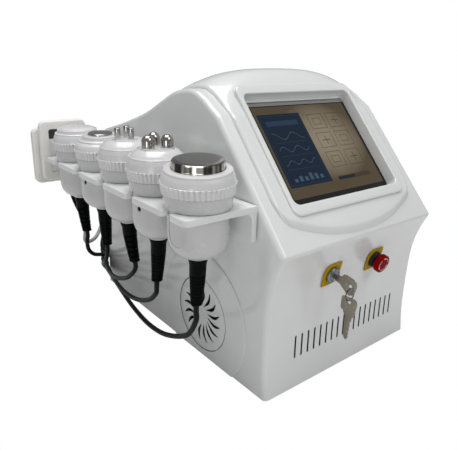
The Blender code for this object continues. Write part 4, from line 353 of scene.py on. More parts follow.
def screen_picture(name):
    """The lit screen: a tan page with a dark blue panel, waves, bars and tiles, inside a black border, with a
    grey band of painted shade along its top.
    """
    f = Finish(name, (0.02, 0.02, 0.02), 0.18, specular=0.06)
    middle = AT + Vector((BODY_WIDTH / 2, *slope_point(BEZEL_MIDDLE)))
    # Millimetres across and up the slope from the picture's middle
    a = f.along((1.0, 0.0, 0.0), middle) * 1000.0 - 4.0
    b = f.along((0.0, cos(SLOPE_ANGLE), sin(SLOPE_ANGLE)), middle) * 1000.0

    def box(x, y, half_width, half_height, soft=0.5):
        inside = (abs(a - x) - half_width).most(abs(b - y) - half_height)
        return 1.0 - inside.step(-soft, soft)

    far = ((a - 22.0) * (a - 22.0) * 0.00013 + (b - 10.0) * (b - 10.0) * 0.00020).least(1.0)
    paper = f.mix(far, (0.290, 0.250, 0.180), (0.088, 0.068, 0.042))
    paper = f.mix((f.noise(24.0, 5.0, 0.65) - 0.5).step(-0.10, 0.28) * 0.45, paper, (0.105, 0.078, 0.050))
    tan_line = (0.050, 0.030, 0.017)
    blue, mid_blue, pale_blue = (0.0040, 0.0160, 0.038), (0.018, 0.045, 0.080), (0.045, 0.095, 0.145)
    picture = f.mix(box(-50.0, 2.0, 43.0, 60.0), paper, blue)
    picture = f.mix(box(-50.0, 2.0, 40.0, 57.0) - box(-50.0, 2.0, 39.4, 56.4), picture, mid_blue)
    picture = f.mix(box(-50.0, 46.0, 32.0, 4.2), picture, (0.016, 0.044, 0.085))
    for row in range(3):
        y = 24.0 - 22.0 * row
        wave = ((a + 50.0) * (0.16 + 0.05 * row)).sine() * (5.5 - row) + y
        line = (1.0 - (abs(b - wave) - 0.55).step(-0.45, 0.45)) * box(-50.0, y, 31.0, 9.0)
        picture = f.mix(line, picture, pale_blue)
        picture = f.mix(box(-50.0, y - 10.5, 32.0, 0.35), picture, mid_blue)
    for column, tall in enumerate((5.0, 8.5, 6.5, 11.0, 9.0, 6.0)):
        picture = f.mix(box(-76.0 + 10.5 * column, -50.0 + tall / 2, 3.2, tall / 2), picture, pale_blue)
    for row, y in enumerate((44.0, 10.0, -24.0)):
        for column, x in enumerate((24.0, 66.0)):
            picture = f.mix((box(x, y, 17.0, 13.5) - box(x, y, 16.0, 12.5)) * 0.75, picture, tan_line)
            if (row + column) % 2:
                mark = box(x, y, 9.0, 0.8).most(box(x, y, 0.8, 7.5))
            else:
                mark = box(x, y, 9.0, 6.0) - box(x, y, 8.0, 5.0)
            picture = f.mix(mark * 0.75, picture, tan_line)
    picture = f.mix(box(45.0, -56.0, 38.0, 3.6) * 0.7, picture, tan_line)
    picture = f.mix(box(27.0, -56.0, 18.5, 2.2), picture, blue)
    high = OPENING_HEIGHT * 500.0
    edge = box(3.0, 0.0, OPENING_WIDTH * 500.0 - 12.0, high - 12.6, 0.3)
    picture = f.mix(1.0 - edge, picture, (0.010, 0.010, 0.011))
    # Painted shade: an unlit grey band along the top stands in for the shaded top wall of the sleeve.
    painted_shade_band = (b - (high - 11.0)).step(-0.2, 0.2)
    picture = f.mix(painted_shade_band, picture, (0.0, 0.0, 0.0))
    page = f.mix(edge, (0.012, 0.012, 0.013), (0.012, 0.010, 0.008))
    f.set("Base Color", f.mix(painted_shade_band, page, (0.34, 0.35, 0.35)))
    f.set("Emission Color", picture)
    f.set("Emission Strength", 0.82)
    return f.material


def painted_shade_inside(name):
    """Inner faces of the housing, dark with painted shade up to its rear rim, white there."""
    f = Finish(name, (0.02, 0.02, 0.02), 0.60)
    lean = REAR_LEAN / REAR_TOP_HEIGHT
    depth = f.axis(1) + (f.axis(2) - AT.z) * lean - (AT.y + BODY_DEPTH - 0.014)
    # Painted shade: dark in front of the rear rim, where the inside lies in shade, white behind it.
    f.set("Base Color", f.mix(depth.step(-0.0005, 0.0005), (0.016, 0.016, 0.017), (0.74, 0.75, 0.745)))
    f.bump(f.noise(30.0, 1.0), 0.05, 0.0010)
    return f.material


def smoked_window(name):
    """Face of the flat handpiece: a dark pane above, a plain ivory field below."""
    f = Finish(name, (0.035, 0.028, 0.028), 0.18, coat=0.3)
    height = f.axis(2) - (AT.z + PADDLE_BOTTOM + PADDLE_HEIGHT * 0.70)
    f.set("Base Color", f.mix(height.step(-0.0004, 0.0004), (0.86, 0.85, 0.82), (0.030, 0.024, 0.026)))
    f.bump(f.noise(30.0, 1.0), 0.05, 0.0010)
    return f.material


FINISHES = {}


def finishes():
    """All materials, made once."""
    if not FINISHES:
        FINISHES.update({
            "housing": moulded_white("housing_white", (0.79, 0.80, 0.795), 0.24, 0.55),
            "bulb": moulded_white("bulb_white", (0.62, 0.615, 0.62), 0.26, 0.45),
            "cap": moulded_white("cap_white", (0.745, 0.74, 0.75), 0.24, 0.45),
            "violet_cap": moulded_white("cool_cap_white", (0.75, 0.745, 0.775), 0.26, 0.40),
            "shelf": moulded_white("shelf_white", (0.82, 0.83, 0.825), 0.40, 0.12),
            "ivory": moulded_white("ivory", (0.88, 0.87, 0.84), 0.40, 0.12),
            "steel": metal("sheet_steel", (0.42, 0.43, 0.44), 0.34, 90.0, (1.0, 14.0, 1.0), 0.10),
            "key": metal("key_metal", (0.335, 0.31, 0.255), 0.34, 300.0, (1.0, 1.0, 5.0), 0.25),
            "chrome": metal("stud_chrome", (0.50, 0.49, 0.47), 0.10, 40.0, (1.0, 1.0, 8.0), 0.02),
            "ring_wire": metal("ring_wire", (0.13, 0.12, 0.11), 0.28, 200.0, (1.0, 1.0, 1.0), 0.02),
            "lock_chrome": metal("lock_chrome", (0.27, 0.28, 0.30), 0.36, 200.0, (1.0, 1.0, 1.0), 0.05),
            "rubber": rubber("black_rubber", (0.0006, 0.0010, 0.0012), 0.40, 0.07),
            "lead": rubber("lead_sheath", (0.0022, 0.0032, 0.0036), 0.38),
            "grey_lead": rubber("light_lead_sheath", (0.52, 0.52, 0.49), 0.45),
            "yellow": mottled("yellow_print", (0.46, 0.29, 0.004), (0.27, 0.17, 0.006), 0.50, 0.04,
                              (220.0, 4.0, 0.55, 0.85), 900.0, 0.06),
            "red": mottled("stop_red", (0.28, 0.002, 0.003), (0.21, 0.0015, 0.002), 0.45, 0.03,
                           (60.0, 3.0, 0.3, 0.8), 700.0, 0.05),
            "black": mottled("moulded_black", (0.016, 0.016, 0.017), (0.030, 0.030, 0.031), 0.42, 0.20,
                             (50.0, 3.0, 0.3, 0.8), 1200.0, 0.15),
            "board": circuit_board("circuit_board"),
            "picture": screen_picture("screen_picture"),
            "disc": turned_disc("contact_disc", (AT.x + HAND_X[0], AT.y + HAND_Y[0]), (0.20, 0.195, 0.185)),
            "small_disc": metal("small_disc_steel", (0.42, 0.42, 0.41), 0.22, 60.0, (1.0, 1.0, 1.0), 0.02),
            "dome": moulded_white("pearl_white", (0.80, 0.77, 0.80), 0.22, 0.5),
            "window": smoked_window("smoked_window"),
            # Painted shade on the housing's inner faces, vent slot walls and grille groove.
            "inside": painted_shade_inside("painted_shade_inside"),
            "arrow_white": moulded_white("arrow_white", (0.75, 0.74, 0.72), 0.40, 0.1),
        })
    return FINISHES


# Modelling helpers

def deselect():
    if bpy.context.mode != "OBJECT":
        bpy.ops.object.mode_set(mode="OBJECT")
    bpy.ops.object.select_all(action="DESELECT")


def only(made):
    """Make one object the selected and active one."""
    deselect()
    made.select_set(True)
    bpy.context.view_layer.objects.active = made
    return made


def editing(made, mode="VERT"):
    only(made)
    bpy.ops.object.mode_set(mode="EDIT")
    bpy.ops.mesh.select_mode(type=mode)
    return made


def from_points(name, points, faces):
    """A mesh typed in by its points, where no primitive comes near its shape."""
    mesh = bpy.data.meshes.new(name)
    mesh.from_pydata([tuple(p) for p in points], [], faces)
    made = bpy.data.objects.new(name, mesh)
    bpy.context.scene.collection.objects.link(made)
    return made


def loft(name, rings, closed=False):
    """A skin through rings of points, capped at both ends or closed on itself."""
    count = len(rings[0])
    points = [p for ring in rings for p in ring]
    faces = []
    for k in range(len(rings) if closed else len(rings) - 1):
        a, b = k * count, (k + 1) % len(rings) * count
        faces += [(a + i, a + (i + 1) % count, b + (i + 1) % count, b + i) for i in range(count)]
    if not closed:
        faces += [tuple(range(count))[::-1], tuple(range(len(points) - count, len(points)))]
    return tidy_normals(from_points(name, points, faces))


def tidy_normals(made):
    """Turn all the faces outward and leave edit mode."""
    if bpy.context.mode != "EDIT_MESH":
        editing(made)
    bpy.ops.mesh.select_all(action="SELECT")
    bpy.ops.mesh.normals_make_consistent(inside=False)
    bpy.ops.object.mode_set(mode="OBJECT")
    return made


def between(name, line, axis, *levels):
    """A solid with a flat outline, reaching from level to level along an axis."""
    return loft(name, [[(*p[:axis], level, *p[axis:]) for p in line] for level in levels])


def slab(name, outline, direction):
    """A flat outline of points, filled and extruded along a direction."""
    made = from_points(name, outline, [tuple(range(len(outline)))])
    editing(made, "FACE")
    bpy.ops.mesh.select_all(action="SELECT")
    bpy.ops.mesh.extrude_region_move(TRANSFORM_OT_translate={"value": tuple(direction)})
    return tidy_normals(made)


def turned(name, rows, sides=72, centre=(0.0, 0.0)):
    """Raise a disc row by row, each row (radius, height), as on a lathe standing upright."""
    deselect()
    x, y = centre
    radius, height = rows[0]
    bpy.ops.mesh.primitive_circle_add(vertices=sides, radius=radius, fill_type="NGON",
                                      location=(x, y, height))
    made = bpy.context.object
    made.name = name
    bpy.ops.object.transform_apply(location=True, rotation=True, scale=True)
    editing(made, "FACE")
    bpy.ops.mesh.select_all(action="SELECT")
    for next_radius, next_height in rows[1:]:
        bpy.ops.mesh.extrude_region_move(TRANSFORM_OT_translate={"value": (0, 0, next_height - height)})
        share = next_radius / radius
        bpy.ops.transform.resize(value=(share, share, 1), center_override=(x, y, next_height))
        radius, height = next_radius, next_height
    return tidy_normals(made)


def turned_ring(name, rows, sides=72, centre=(0.0, 0.0)):
    """A turned piece with a hole: the profile of (radius, height) rows closes on itself."""
    rings = [[(x, y, height) for x, y in circle(radius, sides, *centre)] for radius, height in rows]
    return loft(name, rings, True)


def drawn_in(made, centre, depth):
    """Draw points in towards an upright axis, by a depth given from x, y, z and the distance to that axis."""
    for vertex in made.data.vertices:
        x, y, z = vertex.co.x - centre[0], vertex.co.y - centre[1], vertex.co.z
        far = hypot(x, y)
        sink = depth(x, y, z, far)
        if sink:
            vertex.co.x -= sink * x / far
            vertex.co.y -= sink * y / far
    return made


def apply(made, kind, **settings):
    """Add a modifier, set it and apply it."""
    only(made)
    step = made.modifiers.new(kind.lower(), kind)
    for key, value in settings.items():
        setattr(step, key, value)
    bpy.ops.object.modifier_apply(modifier=step.name)
    return made


def carve(made, tool, operation="DIFFERENCE", solver="EXACT"):
    """Cut a tool out of a piece, or join it on, and throw the tool away."""
    apply(made, "BOOLEAN", operation=operation, object=tool, solver=solver)
    bpy.data.objects.remove(tool, do_unlink=True)
    return made


def soften(made, width, segments=2, angle=35):
    """Round the sharp edges."""
    return apply(made, "BEVEL", width=width, segments=segments, limit_method="ANGLE",
                 angle_limit=radians(angle), use_clamp_overlap=True, harden_normals=False)


def joined(pieces, name):
    """Join several objects into one."""
    only(pieces[0])
    for piece in pieces[1:]:
        piece.select_set(True)
    if len(pieces) > 1:
        bpy.ops.object.join()
    bpy.context.object.name = name
    return bpy.context.object


def finished(made, name, finish, body, nodes=(), angle=32, shift=True):
    """Place a piece in the frame, shade it, give it its finish and its body."""
    only(made)
    if shift:
        made.location = made.location + AT
    bpy.ops.object.transform_apply(location=True, rotation=True, scale=True)
    bpy.ops.object.shade_smooth_by_angle(angle=radians(angle))
    made.name = name
    made.data.materials.clear()
    made.data.materials.append(finishes()[finish])
    if body:
        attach(made, body)
    if nodes:
        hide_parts(*nodes)
    return made


def painted(made, finish, test):
    """Give a second finish to the faces that pass a test on their middle (machine's frame) and normal."""
    made.data.materials.append(finishes()[finish])
    for face in made.data.polygons:
        if test(face.center - AT, face.normal):
            face.material_index = 1
    return made


def clamp(value):
    return min(1.0, max(0.0, value))


def spread(start, end, count):
    """Evenly spaced values after a start, up to an end."""
    return [start + (end - start) * k / count for k in range(1, count + 1)]


def quarter(radius, steps):
    """Pairs of distances in from two faces, along the rounded edge between them."""
    turns = [k * pi / (2 * steps) for k in range(steps + 1)]
    return [(radius * (1 - sin(t)), radius * (1 - cos(t))) for t in turns]


def dome(radius, base, rise):
    """Profile rows of a dome, ending just short of its axis."""
    return [(radius * cos(a), base + rise * sin(a)) for a in (k * pi / 24 for k in range(1, 12))]


def arc(a, b, radius, start, end, steps):
    turns = [start + (end - start) * i / steps for i in range(steps + 1)]
    return [(a + radius * cos(t), b + radius * sin(t)) for t in turns]


def rounded_rectangle(width, height, radius, steps=8, a=0.0, b=0.0):
    points = []
    for quarter, (sa, sb) in enumerate(((1, 1), (-1, 1), (-1, -1), (1, -1))):
        points += arc(a + sa * (width / 2 - radius), b + sb * (height / 2 - radius), radius, quarter * pi / 2,
                      (quarter + 1) * pi / 2, steps)
    return points


def grown(size, grow, steps=8):
    """Rounded rectangle of a size (width, height, radius), grown on all its sides."""
    return rounded_rectangle(size[0] + 2 * grow, size[1] + 2 * grow, size[2] + grow, steps)


def circle(radius, sides, a=0.0, b=0.0):
    turns = [2 * pi * i / sides for i in range(sides)]
    return [(a + radius * cos(t), b + radius * sin(t)) for t in turns]


def smooth_line(points, steps):
    """Points along a smooth curve through the given ones."""
    knots = [Vector(p) for p in points]
    fine = []
    for i in range(len(knots) - 1):
        p0 = knots[i - 1] if i else knots[0] * 2 - knots[1]
        p1, p2 = knots[i], knots[i + 1]
        p3 = knots[i + 2] if i + 2 < len(knots) else knots[-1] * 2 - knots[-2]
        for k in range(steps):
            u = k / steps
            fine.append(0.5 * (2 * p1 + (p2 - p0) * u + (2 * p0 - 5 * p1 + 4 * p2 - p3) * u ** 2
                               + (3 * p1 - p0 - 3 * p2 + p3) * u ** 3))
    fine.append(knots[-1])
    return fine


def rounded_rows(rows, steps=4):
    """Profile rows (radius, height, rounding): corners with a rounding become arcs."""
    out = []
    for i, row in enumerate(rows):
        r, z = row[0], row[1]
        if len(row) < 3 or i in (0, len(rows) - 1):
            out.append((r, z))
            continue
        here = Vector((r, z))
        before = Vector(rows[i - 1][:2]) - here
        after = Vector(rows[i + 1][:2]) - here
        half = before.angle(after) / 2
        run = min(row[2] / tan(half), before.length * 0.49, after.length * 0.49)
        radius = run * tan(half)
        start = here + before.normalized() * run
        end = here + after.normalized() * run
        middle = here + (before.normalized() + after.normalized()).normalized() * (radius / sin(half))
        for k in range(steps + 1):
            spoke = (start - middle).lerp(end - middle, k / steps).normalized() * radius
            out.append(tuple(middle + spoke))
    return out


# Outlines shared by the housing and the surround

def slope_point(t):
    return (-CHIN_OVERHANG + t * cos(SLOPE_ANGLE), CHIN_HEIGHT + t * sin(SLOPE_ANGLE))


SLOPE_END = slope_point(SLOPE_LENGTH)
REAR_TOP_Y = BODY_DEPTH - REAR_LEAN


def crest_knots():
    fall = CREST_HEIGHT - REAR_TOP_HEIGHT
    crest_y = SLOPE_END[0] + CREST_RISE_RUN
    rise = [(SLOPE_END[0] + a * CREST_RISE_RUN, REAR_TOP_HEIGHT + b * fall) for a, b in CREST_RISE]
    down = [(crest_y + a * (REAR_TOP_Y - crest_y), REAR_TOP_HEIGHT + b * fall) for a, b in CREST_FALL]
    return [SLOPE_END] + rise + down + [(REAR_TOP_Y, REAR_TOP_HEIGHT)]


def crest_line():
    before = slope_point(SLOPE_LENGTH - 0.014)
    return [tuple(p) for p in smooth_line([before] + crest_knots(), 6)[6:]]


CREST = crest_line()
FRONT = [tuple(p) for p in smooth_line([(a * CHIN_OVERHANG, b * CHIN_HEIGHT) for a, b in FRONT_CURVE], 4)]


def skin_height(y):
    """Height of the housing's upper face at a depth."""
    points = [slope_point(0)] + CREST
    for (y0, z0), (y1, z1) in zip(points, points[1:]):
        if y0 <= y <= y1:
            return z0 + (z1 - z0) * (y - y0) / (y1 - y0)
    return points[-1][1]


def inset_outline(inset, extra=0.0):
    """Side outline drawn in by an inset, its open ends still on the floor and on the rear edge."""
    corner = Vector((-CHIN_OVERHANG, CHIN_HEIGHT))
    before = (Vector(FRONT[-1]) - corner).normalized()
    after = (Vector(SLOPE_END) - corner).normalized()
    half = before.angle(after) / 2
    middle = corner + (before + after).normalized() * (max(CHIN_RADIUS, inset) / sin(half))
    radius = max(CHIN_RADIUS - inset, 0.0002)
    first, last = (-before.orthogonal(), after.orthogonal())
    first = first if first.dot(middle - corner) < 0 else -first
    last = last if last.dot(middle - corner) < 0 else -last
    chin = [middle + first.lerp(last, k / 8).normalized() * radius for k in range(9)]
    line = []
    for points in (FRONT, CREST):
        for i, point in enumerate(points):
            ahead = Vector(points[min(i + 1, len(points) - 1)])
            behind = Vector(points[max(i - 1, 0)])
            along = (ahead - behind).normalized()
            line.append(Vector(point) + Vector((along.y, -along.x)) * inset)
        if points is FRONT:
            line += chin
    line[0] = Vector((line[0].x, -extra))
    rear = Vector((REAR_LEAN, -REAR_TOP_HEIGHT)).normalized()
    tip = line[-1]
    line[-1] = Vector((REAR_TOP_Y + (tip.y - REAR_TOP_HEIGHT) * rear.x / rear.y + extra, tip.y))
    line.append(Vector((BODY_DEPTH + extra, -extra)))
    return [tuple(p) for p in line]


def to_slope(points, level):
    """Points of the slope's frame at a level over the raised face."""
    lift = level + SURROUND_RISE
    ny, nz = -sin(SLOPE_ANGLE), cos(SLOPE_ANGLE)
    placed = []
    for a, b in points:
        y, z = slope_point(BEZEL_MIDDLE + b)
        placed.append((BODY_WIDTH / 2 + a, y + ny * lift, z + nz * lift))
    return placed


def through_slope(name, line, low, high):
    """A solid with an outline in the slope's frame, between two levels."""
    return loft(name, [to_slope(line, low), to_slope(line, high)])


def control_matrix(x):
    """Frame of a control on the lower front: its Z is the outward normal."""
    return Matrix.Translation((x, CONTROL_Y, CONTROL_HEIGHT)) @ Matrix.Rotation(pi / 2 + CONTROL_TILT, 4, "X")


class ConsoleSettings(bpy.types.PropertyGroup):
    """Sizes and colours of the shells and the stage."""
    edge_radius: bpy.props.FloatProperty(name="Side edge radius",
                                         description="Rounding of the housing's side edges",
                                         default=0.0076, unit="LENGTH")
    floor_colour: bpy.props.FloatVectorProperty(name="Floor colour", description="Colour of the floor",
                                                subtype="COLOR", default=(0.80, 0.80, 0.80))
    lamp_level: bpy.props.FloatProperty(name="Lamp level", description="Strength of all the lamps together",
                                        default=1.0)


class HandpieceSettings(bpy.types.PropertyGroup):
    """Sizes of the handpieces' details."""
    flutes: bpy.props.IntProperty(name="Flutes", description="Grip flutes round each cap", default=44)
    flute_depth: bpy.props.FloatProperty(name="Flute depth", description="Depth of a grip flute",
                                         default=0.0026, unit="LENGTH")


class CONSOLE_OT_housing(bpy.types.Operator):
    """Housing shell with its side pad, vents and cut-outs"""
    bl_idname = "console.housing"
    bl_label = "Housing"

    def execute(self, context):
        edge = context.scene.console_settings.edge_radius
        shell = self.skin(edge, 0.0, 0.0)
        carve(shell, self.skin(max(edge, PART_EDGE) - SHELL_WALL, SHELL_WALL, 0.004), solver="MANIFOLD")
        carve(shell, self.side_pad(), "UNION", "MANIFOLD")
        for tool in (self.fan_seat(), self.vents(), self.screen_hole(), self.control_holes()):
            carve(shell, tool, solver="MANIFOLD")
        finished(shell, "housing_shell", "housing", "machine", ("housing",), 30)
        # Painted shade: the inner faces, the vent slot walls and the groove round the grille are made dark.
        painted(shell, "inside", self.in_painted_shade)
        return {"FINISHED"}

    def in_painted_shade(self, middle, normal):
        """Faces that get painted shade: inner faces, slot walls and the groove round the grille."""
        x, y, z = middle
        half_row = VENT_PITCH * VENT_COUNT / 2
        beside, above = abs(x - BODY_WIDTH / 2 - VENT_SHIFT), abs(z - VENT_MIDDLE_HEIGHT)
        if beside < half_row and above < VENT_HEIGHT / 2 + 0.0004 and abs(normal.y) < 0.6 and y < 0.02:
            return True
        far = hypot(y - FAN_Y, z - FAN_Z)
        if x < SHELL_WALL and abs(normal.x) < 0.3 and far < GRILLE_RADIUS + 0.0010:
            return True
        inward = Vector((BODY_WIDTH / 2, BODY_DEPTH * 0.55, REAR_TOP_HEIGHT * 0.4)) - middle
        return 0.0018 < x < BODY_WIDTH - 0.0018 and normal.dot(inward) > 0

    def skin(self, radius, wall, extra):
        """Solid inside the outer surface by a wall, with rounded side edges, longer below and behind."""
        near = [(wall + a, wall + b) for a, b in quarter(radius, 10)]
        steps = near[::-1] + [(BODY_WIDTH - x, inset) for x, inset in near]
        return loft("skin", [[(x, y, z) for y, z in inset_outline(inset, extra)] for x, inset in steps])

    def side_pad(self):
        steps = [(SHELL_WALL - 0.002, 0.0)] + [(-PAD_RISE + a, b) for a, b in quarter(PAD_ROUND, 5)]
        rings = []
        for level, inset in steps:
            radius = PAD_RADIUS - inset
            low = atan2(GAP - FAN_Z, sqrt(radius ** 2 - (FAN_Z - GAP) ** 2))
            rings.append([(level, y, z) for y, z in arc(FAN_Y, FAN_Z, radius, low, pi - low, 120)])
        return loft("side_pad", rings)

    def fan_seat(self):
        outer, step, inner = -PAD_RISE - 0.002, -PAD_RISE + GRILLE_THICKNESS + GAP, SHELL_WALL + 0.002
        seat = circle(GRILLE_RADIUS + 0.0005, 120, FAN_Y, FAN_Z)
        bore = circle(GRILLE_RADIUS - GRILLE_LEDGE, 120, FAN_Y, FAN_Z)
        return loft("fan_seat", [[(x, y, z) for y, z in line] for line, x in
                                 ((seat, outer), (seat, step), (bore, step), (bore, inner))])

    def vents(self):
        first = BODY_WIDTH / 2 + VENT_SHIFT - VENT_PITCH * (VENT_COUNT - 1) / 2
        wide = VENT_WIDTH + VENT_WIDER
        middles = [first + i * VENT_PITCH for i in range(VENT_COUNT)]
        lines = [rounded_rectangle(wide, VENT_HEIGHT, wide / 2 - 1e-5, 5, x, VENT_MIDDLE_HEIGHT)
                 for x in middles]
        return joined([between("slot", line, 1, -0.022, 0.022) for line in lines], "slots")

    def screen_hole(self):
        return through_slope("screen_hole", grown(OPENING, SLEEVE_WALL + GAP), -0.030, 0.002)

    def control_holes(self):
        holes = []
        for x, radius in ((KEY_X, KEY_BORE), (ESTOP_X, ESTOP_BORE)):
            holes.append(between("hole", circle(radius, 32), 2, -0.016, 0.016))
            holes[-1].data.transform(control_matrix(x))
        return joined(holes, "holes")


class CONSOLE_OT_surround(bpy.types.Operator):
    """Raised surround of the screen with the rounded hump above it"""
    bl_idname = "console.surround"
    bl_label = "Screen surround"

    half = BODY_WIDTH / 2 - SURROUND_MARGIN
    rear_y = crest_knots()[10][0]

    def bottom(self, x):
        u = abs(x - BODY_WIDTH / 2) / self.half
        base = SURROUND_BOTTOM + SURROUND_ARC_RISE * u ** 2.2
        past = clamp((u * self.half - (self.half - SURROUND_CORNER_WIDTH)) / SURROUND_CORNER_WIDTH)
        return base + SURROUND_CORNER_HEIGHT * (1 - sqrt(1 - past ** 2))

    def top(self, x, y, edge):
        u = min(1.0, abs(x - BODY_WIDTH / 2) / self.half)
        crest_y, rear_y = SLOPE_END[0] + CREST_RISE_RUN, self.rear_y
        rise = SURROUND_RISE * edge
        plane = CHIN_HEIGHT + (y + CHIN_OVERHANG) * tan(SLOPE_ANGLE) + rise / cos(SLOPE_ANGLE)
        if y <= SLOPE_END[0] - 0.004:
            return plane
        level_end = crest_y + HUMP_FLAT_LENGTH
        fade = 1.0 if y < level_end else 0.5 + 0.5 * cos(pi * clamp((y - level_end) / (rear_y - level_end)))
        cap = skin_height(max(y, SLOPE_END[0])) + rise + HUMP_RISE * (1 - u ** HUMP_POWER) * fade
        if y < SLOPE_END[0]:
            cap = max(cap, plane)
        near = max(HUMP_BLEND - abs(plane - cap), 0.0) / HUMP_BLEND
        return max(min(plane, cap) - near * near * HUMP_BLEND / 4, skin_height(y) + rise)

    def column(self, x, side, curl):
        """Points at one x: over the top from front to rear, then the same along the housing's skin."""
        start = self.bottom(x)
        ts = [start + c for c in curl]
        ts += spread(ts[-1], SLOPE_LENGTH - 0.006, 30)
        ys = [slope_point(t)[0] for t in ts]
        ys += spread(ys[-1], self.rear_y - SURROUND_ROUND, 52)
        ys += [self.rear_y - c for c in reversed(curl[:-1])]
        points = []
        for y in ys:
            near = min(side, (y - ys[0]) / cos(SLOPE_ANGLE), ys[-1] - y, SURROUND_ROUND)
            edge = 0.06 + 0.94 * sqrt(max(0.0, 1 - (1 - near / SURROUND_ROUND) ** 2))
            points.append((x, y, self.top(x, y, edge)))
        return points + [(x, y, skin_height(y) + GAP * 0.4) for y in ys]

    def faces(self, columns, rows):
        """Faces of the top, the underside and the four edges."""
        faces = []
        stride = 2 * rows
        for a in range(0, (columns - 1) * stride, stride):
            b = a + stride
            for j in range(rows - 1):
                faces.append((a + j, b + j, b + j + 1, a + j + 1))
                faces.append((a + rows + j, a + rows + j + 1, b + rows + j + 1, b + rows + j))
            for j in (0, rows - 1):
                faces.append((a + j, a + rows + j, b + rows + j, b + j))
        for a in (0, (columns - 1) * stride):
            faces += [(a + j, a + j + 1, a + rows + j + 1, a + rows + j) for j in range(rows - 1)]
        return faces

    def execute(self, context):
        curl = [b for a, b in quarter(SURROUND_ROUND, 7)]
        xs = [SURROUND_MARGIN + offset for offset in curl + spread(curl[-1], self.half, 44)]
        xs += [BODY_WIDTH - x for x in reversed(xs[:-1])]
        points = [p for x in xs for p in self.column(x, min(x - xs[0], xs[-1] - x), curl)]
        faces = self.faces(len(xs), len(points) // len(xs) // 2)
        made = tidy_normals(from_points("surround", points, faces))
        for size, grow, low in ((BEZEL, GAP, -BEZEL_REBATE), (OPENING, SLEEVE_WALL + GAP, -0.012)):
            carve(made, through_slope("recess", grown(size, grow, 10), low, 0.035), solver="MANIFOLD")
        finished(made, "screen_surround_shell", "housing", "machine", ("screen_surround",), 38)
        return {"FINISHED"}


class CONSOLE_OT_screen(bpy.types.Operator):
    """Bezel with its deep sleeve, and the lit pane"""
    bl_idname = "console.screen"
    bl_label = "Bezel and screen"

    def execute(self, context):
        seat = -BEZEL_REBATE + GAP
        steps = [(BEZEL, 0.0, seat)]
        steps += [(BEZEL, -b, BEZEL_PROUD - a) for a, b in quarter(BEZEL_EDGE, 6)]
        steps += [(OPENING, a, BEZEL_PROUD - b) for a, b in quarter(BEZEL_LIP, 6)]
        steps += [(OPENING, 0.0, -SLEEVE_DEPTH), (OPENING, SLEEVE_WALL, -SLEEVE_DEPTH),
                  (OPENING, SLEEVE_WALL, seat)]
        rings = [to_slope(grown(size, grow, 12), level) for size, grow, level in steps]
        finished(loft("bezel", rings, closed=True), "screen_bezel_ring", "housing", "machine",
                 ("screen_bezel",), 40)
        face = -SLEEVE_DEPTH - GAP
        pane = through_slope("pane", grown(OPENING, GLASS_MARGIN), face - GLASS_THICKNESS, face)
        finished(pane, "screen_pane", "picture", "machine", ("screen_glass",))
        return {"FINISHED"}


class CONSOLE_OT_grille(bpy.types.Operator):
    """Fan grille with swirl slots"""
    bl_idname = "console.grille"
    bl_label = "Fan grille"

    def execute(self, context):
        outer, inner = -PAD_RISE, -PAD_RISE + GRILLE_THICKNESS
        rim = 0.0006
        steps = ((inner, 0.0), (outer + rim, 0.0), (outer + rim * 0.3, rim * 0.3), (outer, rim))
        rings = [[(x, y, z) for y, z in circle(GRILLE_RADIUS - GRILLE_SEAM - inset, 120, FAN_Y, FAN_Z)]
                 for x, inset in steps]
        disc = loft("grille", rings)
        slots = [between("slot", self.swirl(2 * pi * i / SWIRL_COUNT), 0, outer - 0.002, inner + 0.002)
                 for i in range(SWIRL_COUNT)]
        carve(disc, joined(slots, "swirl"), solver="MANIFOLD")
        finished(disc, "fan_grille_disc", "housing", "machine", ("fan_grille",), 30)
        # Painted shade: the grille's back face and its slot walls are made black.
        painted(disc, "black", lambda middle, normal: middle.x > outer + 0.0007 or abs(normal.x) < 0.4
                and hypot(middle.y - FAN_Y, middle.z - FAN_Z) < GRILLE_RADIUS - 0.002)
        return {"FINISHED"}

    def swirl(self, angle):
        """Outline of one slot: it bends and swells along its length."""
        sides = [], []
        for i in range(17):
            share = i / 16
            radius = SWIRL_START + SWIRL_LENGTH * share
            swell = sin(pi * (0.03 + 0.94 * share ** 1.15))
            middle = angle + SWIRL_TURN * share + SWIRL_BEND * swell / radius
            half = (SWIRL_HALF_TIP + SWIRL_HALF_SWELL * swell) / radius
            for side, a in zip(sides, (middle + half, middle - half)):
                side.append((FAN_Y + radius * cos(a), FAN_Z + radius * sin(a)))
        return sides[0] + sides[1][::-1]


